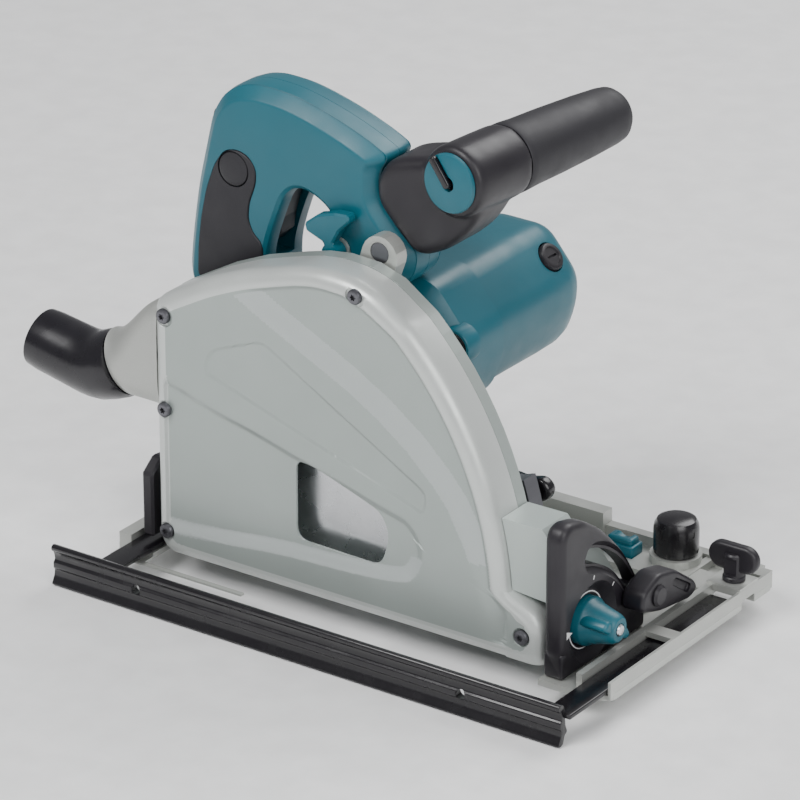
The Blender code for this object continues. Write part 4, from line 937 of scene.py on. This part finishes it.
def make_dust_outlet():
    """Outlet that blends from the case's tall rear opening to a round, slanted end."""
    port = Vector(DUST_PORT)
    sections = []
    for step in range(15):
        t = step / 14.0
        blend = t * t * (3 - 2 * t)
        ring = []
        for i in range(64):
            a = 2 * pi * i / 64
            c, s = cos(a), sin(a)
            wall_y = port.y + 12.4 * (abs(c) ** 0.45) * (1 if c >= 0 else -1)
            wall_z = 129.0 + 33.0 * (abs(s) ** 0.45) * (1 if s >= 0 else -1)
            end_x = port.x - 21.0 * s * sin(radians(DUST_LEAN))
            end_y = port.y + 17.4 * c
            end_z = port.z + 21.0 * s * cos(radians(DUST_LEAN))
            x = -145.35 + (end_x + 145.35) * t
            ring.append((x, wall_y + (end_y - wall_y) * blend, wall_z + (end_z - wall_z) * blend))
        sections.append(ring)
    outlet = rings("dust_outlet", sections, SILVER)
    turn = Matrix.Translation(port * MM) @ Matrix.Rotation(radians(-90.0 - DUST_LEAN), 4, "Y")
    spigot = rod("s", "Z", (0, 0), 15.0, -8, 11, SILVER, 56)
    bore = rod("b", "Z", (0, 0), 12.0, -46, 20, SILVER, 40)
    spigot.data.transform(turn)
    bore.data.transform(turn)
    fuse(outlet, spigot)
    place(smooth(cut(outlet, bore), 36), "case", "cast_aluminium", "dust_port")


def make_case_screws():
    """Cover screws with lobed drive recesses."""
    for index, (x, z) in enumerate(COVER_SCREWS):
        star = []
        for k in range(36):
            a = radians(10 * k)
            r = 1.75 + 0.45 * cos(6 * a)
            star.append((x + r * cos(a), z + r * sin(a)))
        profile = [(0, -91.6), (2.9, -91.6), (4.1, -91.2), (4.6, -90.4), (4.6, -88.9), (2.3, -88.9),
                   (2.3, -59), (0, -59)]
        screw = lathe("case_screw_%d" % (index + 1), "Y", (x, z), profile, DARK, 36)
        cut(screw, prism("t", "Y", star, -95, -89.9, DARK))
        place(smooth(screw, 32), "case", "dark_steel", "cover_screw_%d" % (index + 1))


def finish_carried_nodes():
    """Materials and softened edges for CAD nodes that stay as they are."""
    plain = {
        SILVER: ("base_plate", "gear_housing"),
        CASE: ("blade_case",),
        TEAL: ("blade_change_lever",),
        BLACK: ("rear_bevel_quadrant", "switch_body", "trigger", "speed_dial", "cord_inlet",
                "rear_clamp_lever",
                "depth_scale", "motor_fan"),
        STEEL: ("saw_blade", "spindle_bearing", "motor_front_bearing", "plunge_shaft", "return_spring"),
        DARK: ("spindle", "inner_flange", "outer_flange", "blade_bolt", "spindle_gear", "intermediate_gear",
               "armature_shaft", "field_stator", "boss_screw", "depth_stop"),
        CARBON: ("carbon_brush_1", "carbon_brush_2"),
        COPPER: ("armature_core", "commutator"),
    }
    for mat, nodes in plain.items():
        for node in nodes:
            keep(node, mat, CASTING_EDGE if node in ("blade_case", "gear_housing") else PLAIN_EDGE)


def make_floor():
    """Pale floor just under the fence bar."""
    bm = bmesh.new()
    bmesh.ops.create_grid(bm, x_segments=2, y_segments=2, size=4000)
    floor = put("floor", bm, surface("floor_paper", (0.93, 0.93, 0.93), 0.9, 0.0, 40.0, 0.00002, 0.01))
    floor.location = (0, 0, -0.0125)


def make_lights():
    """Soft area lights and a weak white surround."""
    lamps = (("key", (-0.5, -1.5, 1.9), 1.1, 42.0), ("fill", (1.7, -0.9, 1.3), 1.4, 26.0),
             ("back", (0.2, 1.5, 1.8), 1.4, 34.0))
    for name, place_at, size, watts in lamps:
        light = bpy.data.lights.new(name, "AREA")
        light.size = size
        light.energy = watts
        lamp = bpy.data.objects.new(name, light)
        lamp.location = place_at
        lamp.rotation_euler = (Vector((0, 0, 0.1)) - Vector(place_at)).to_track_quat("-Z", "Y").to_euler()
        bpy.context.scene.collection.objects.link(lamp)
    world = bpy.data.worlds.new("studio")
    world.use_nodes = True
    world.node_tree.nodes["Background"].inputs["Color"].default_value = (0.96, 0.97, 1.0, 1.0)
    world.node_tree.nodes["Background"].inputs["Strength"].default_value = 0.34
    bpy.context.scene.world = world


def make_camera():
    """Long lens from the front right, a little above."""
    lens = bpy.data.cameras.new("camera")
    lens.lens = 225.0
    lens.sensor_width = 36.0
    lens.clip_end = 50.0
    camera = bpy.data.objects.new("camera", lens)
    camera.location = (1.4867, -2.1797, 1.2946)
    look = Vector((-0.0329, 0.0, 0.0987)) - camera.location
    camera.rotation_euler = look.to_track_quat("-Z", "Y").to_euler()
    bpy.context.scene.collection.objects.link(camera)
    bpy.context.scene.camera = camera


make_cover_looks()
make_handle_shells()
make_handle_pads()
make_motor_can()
make_brush_caps()
make_side_plug()
make_grip_neck()
make_rubber_grip()
make_key_holder()
make_quadrant_looks()
make_preset_knob()
make_clamp_wedge()
make_rail_knob()
make_fence_wings()
make_depth_stop_wing()
make_rail_catch()
make_rule_looks()
make_swivel_elbow()
make_dust_outlet()
make_case_screws()
finish_carried_nodes()
make_floor()
make_lights()
make_camera()
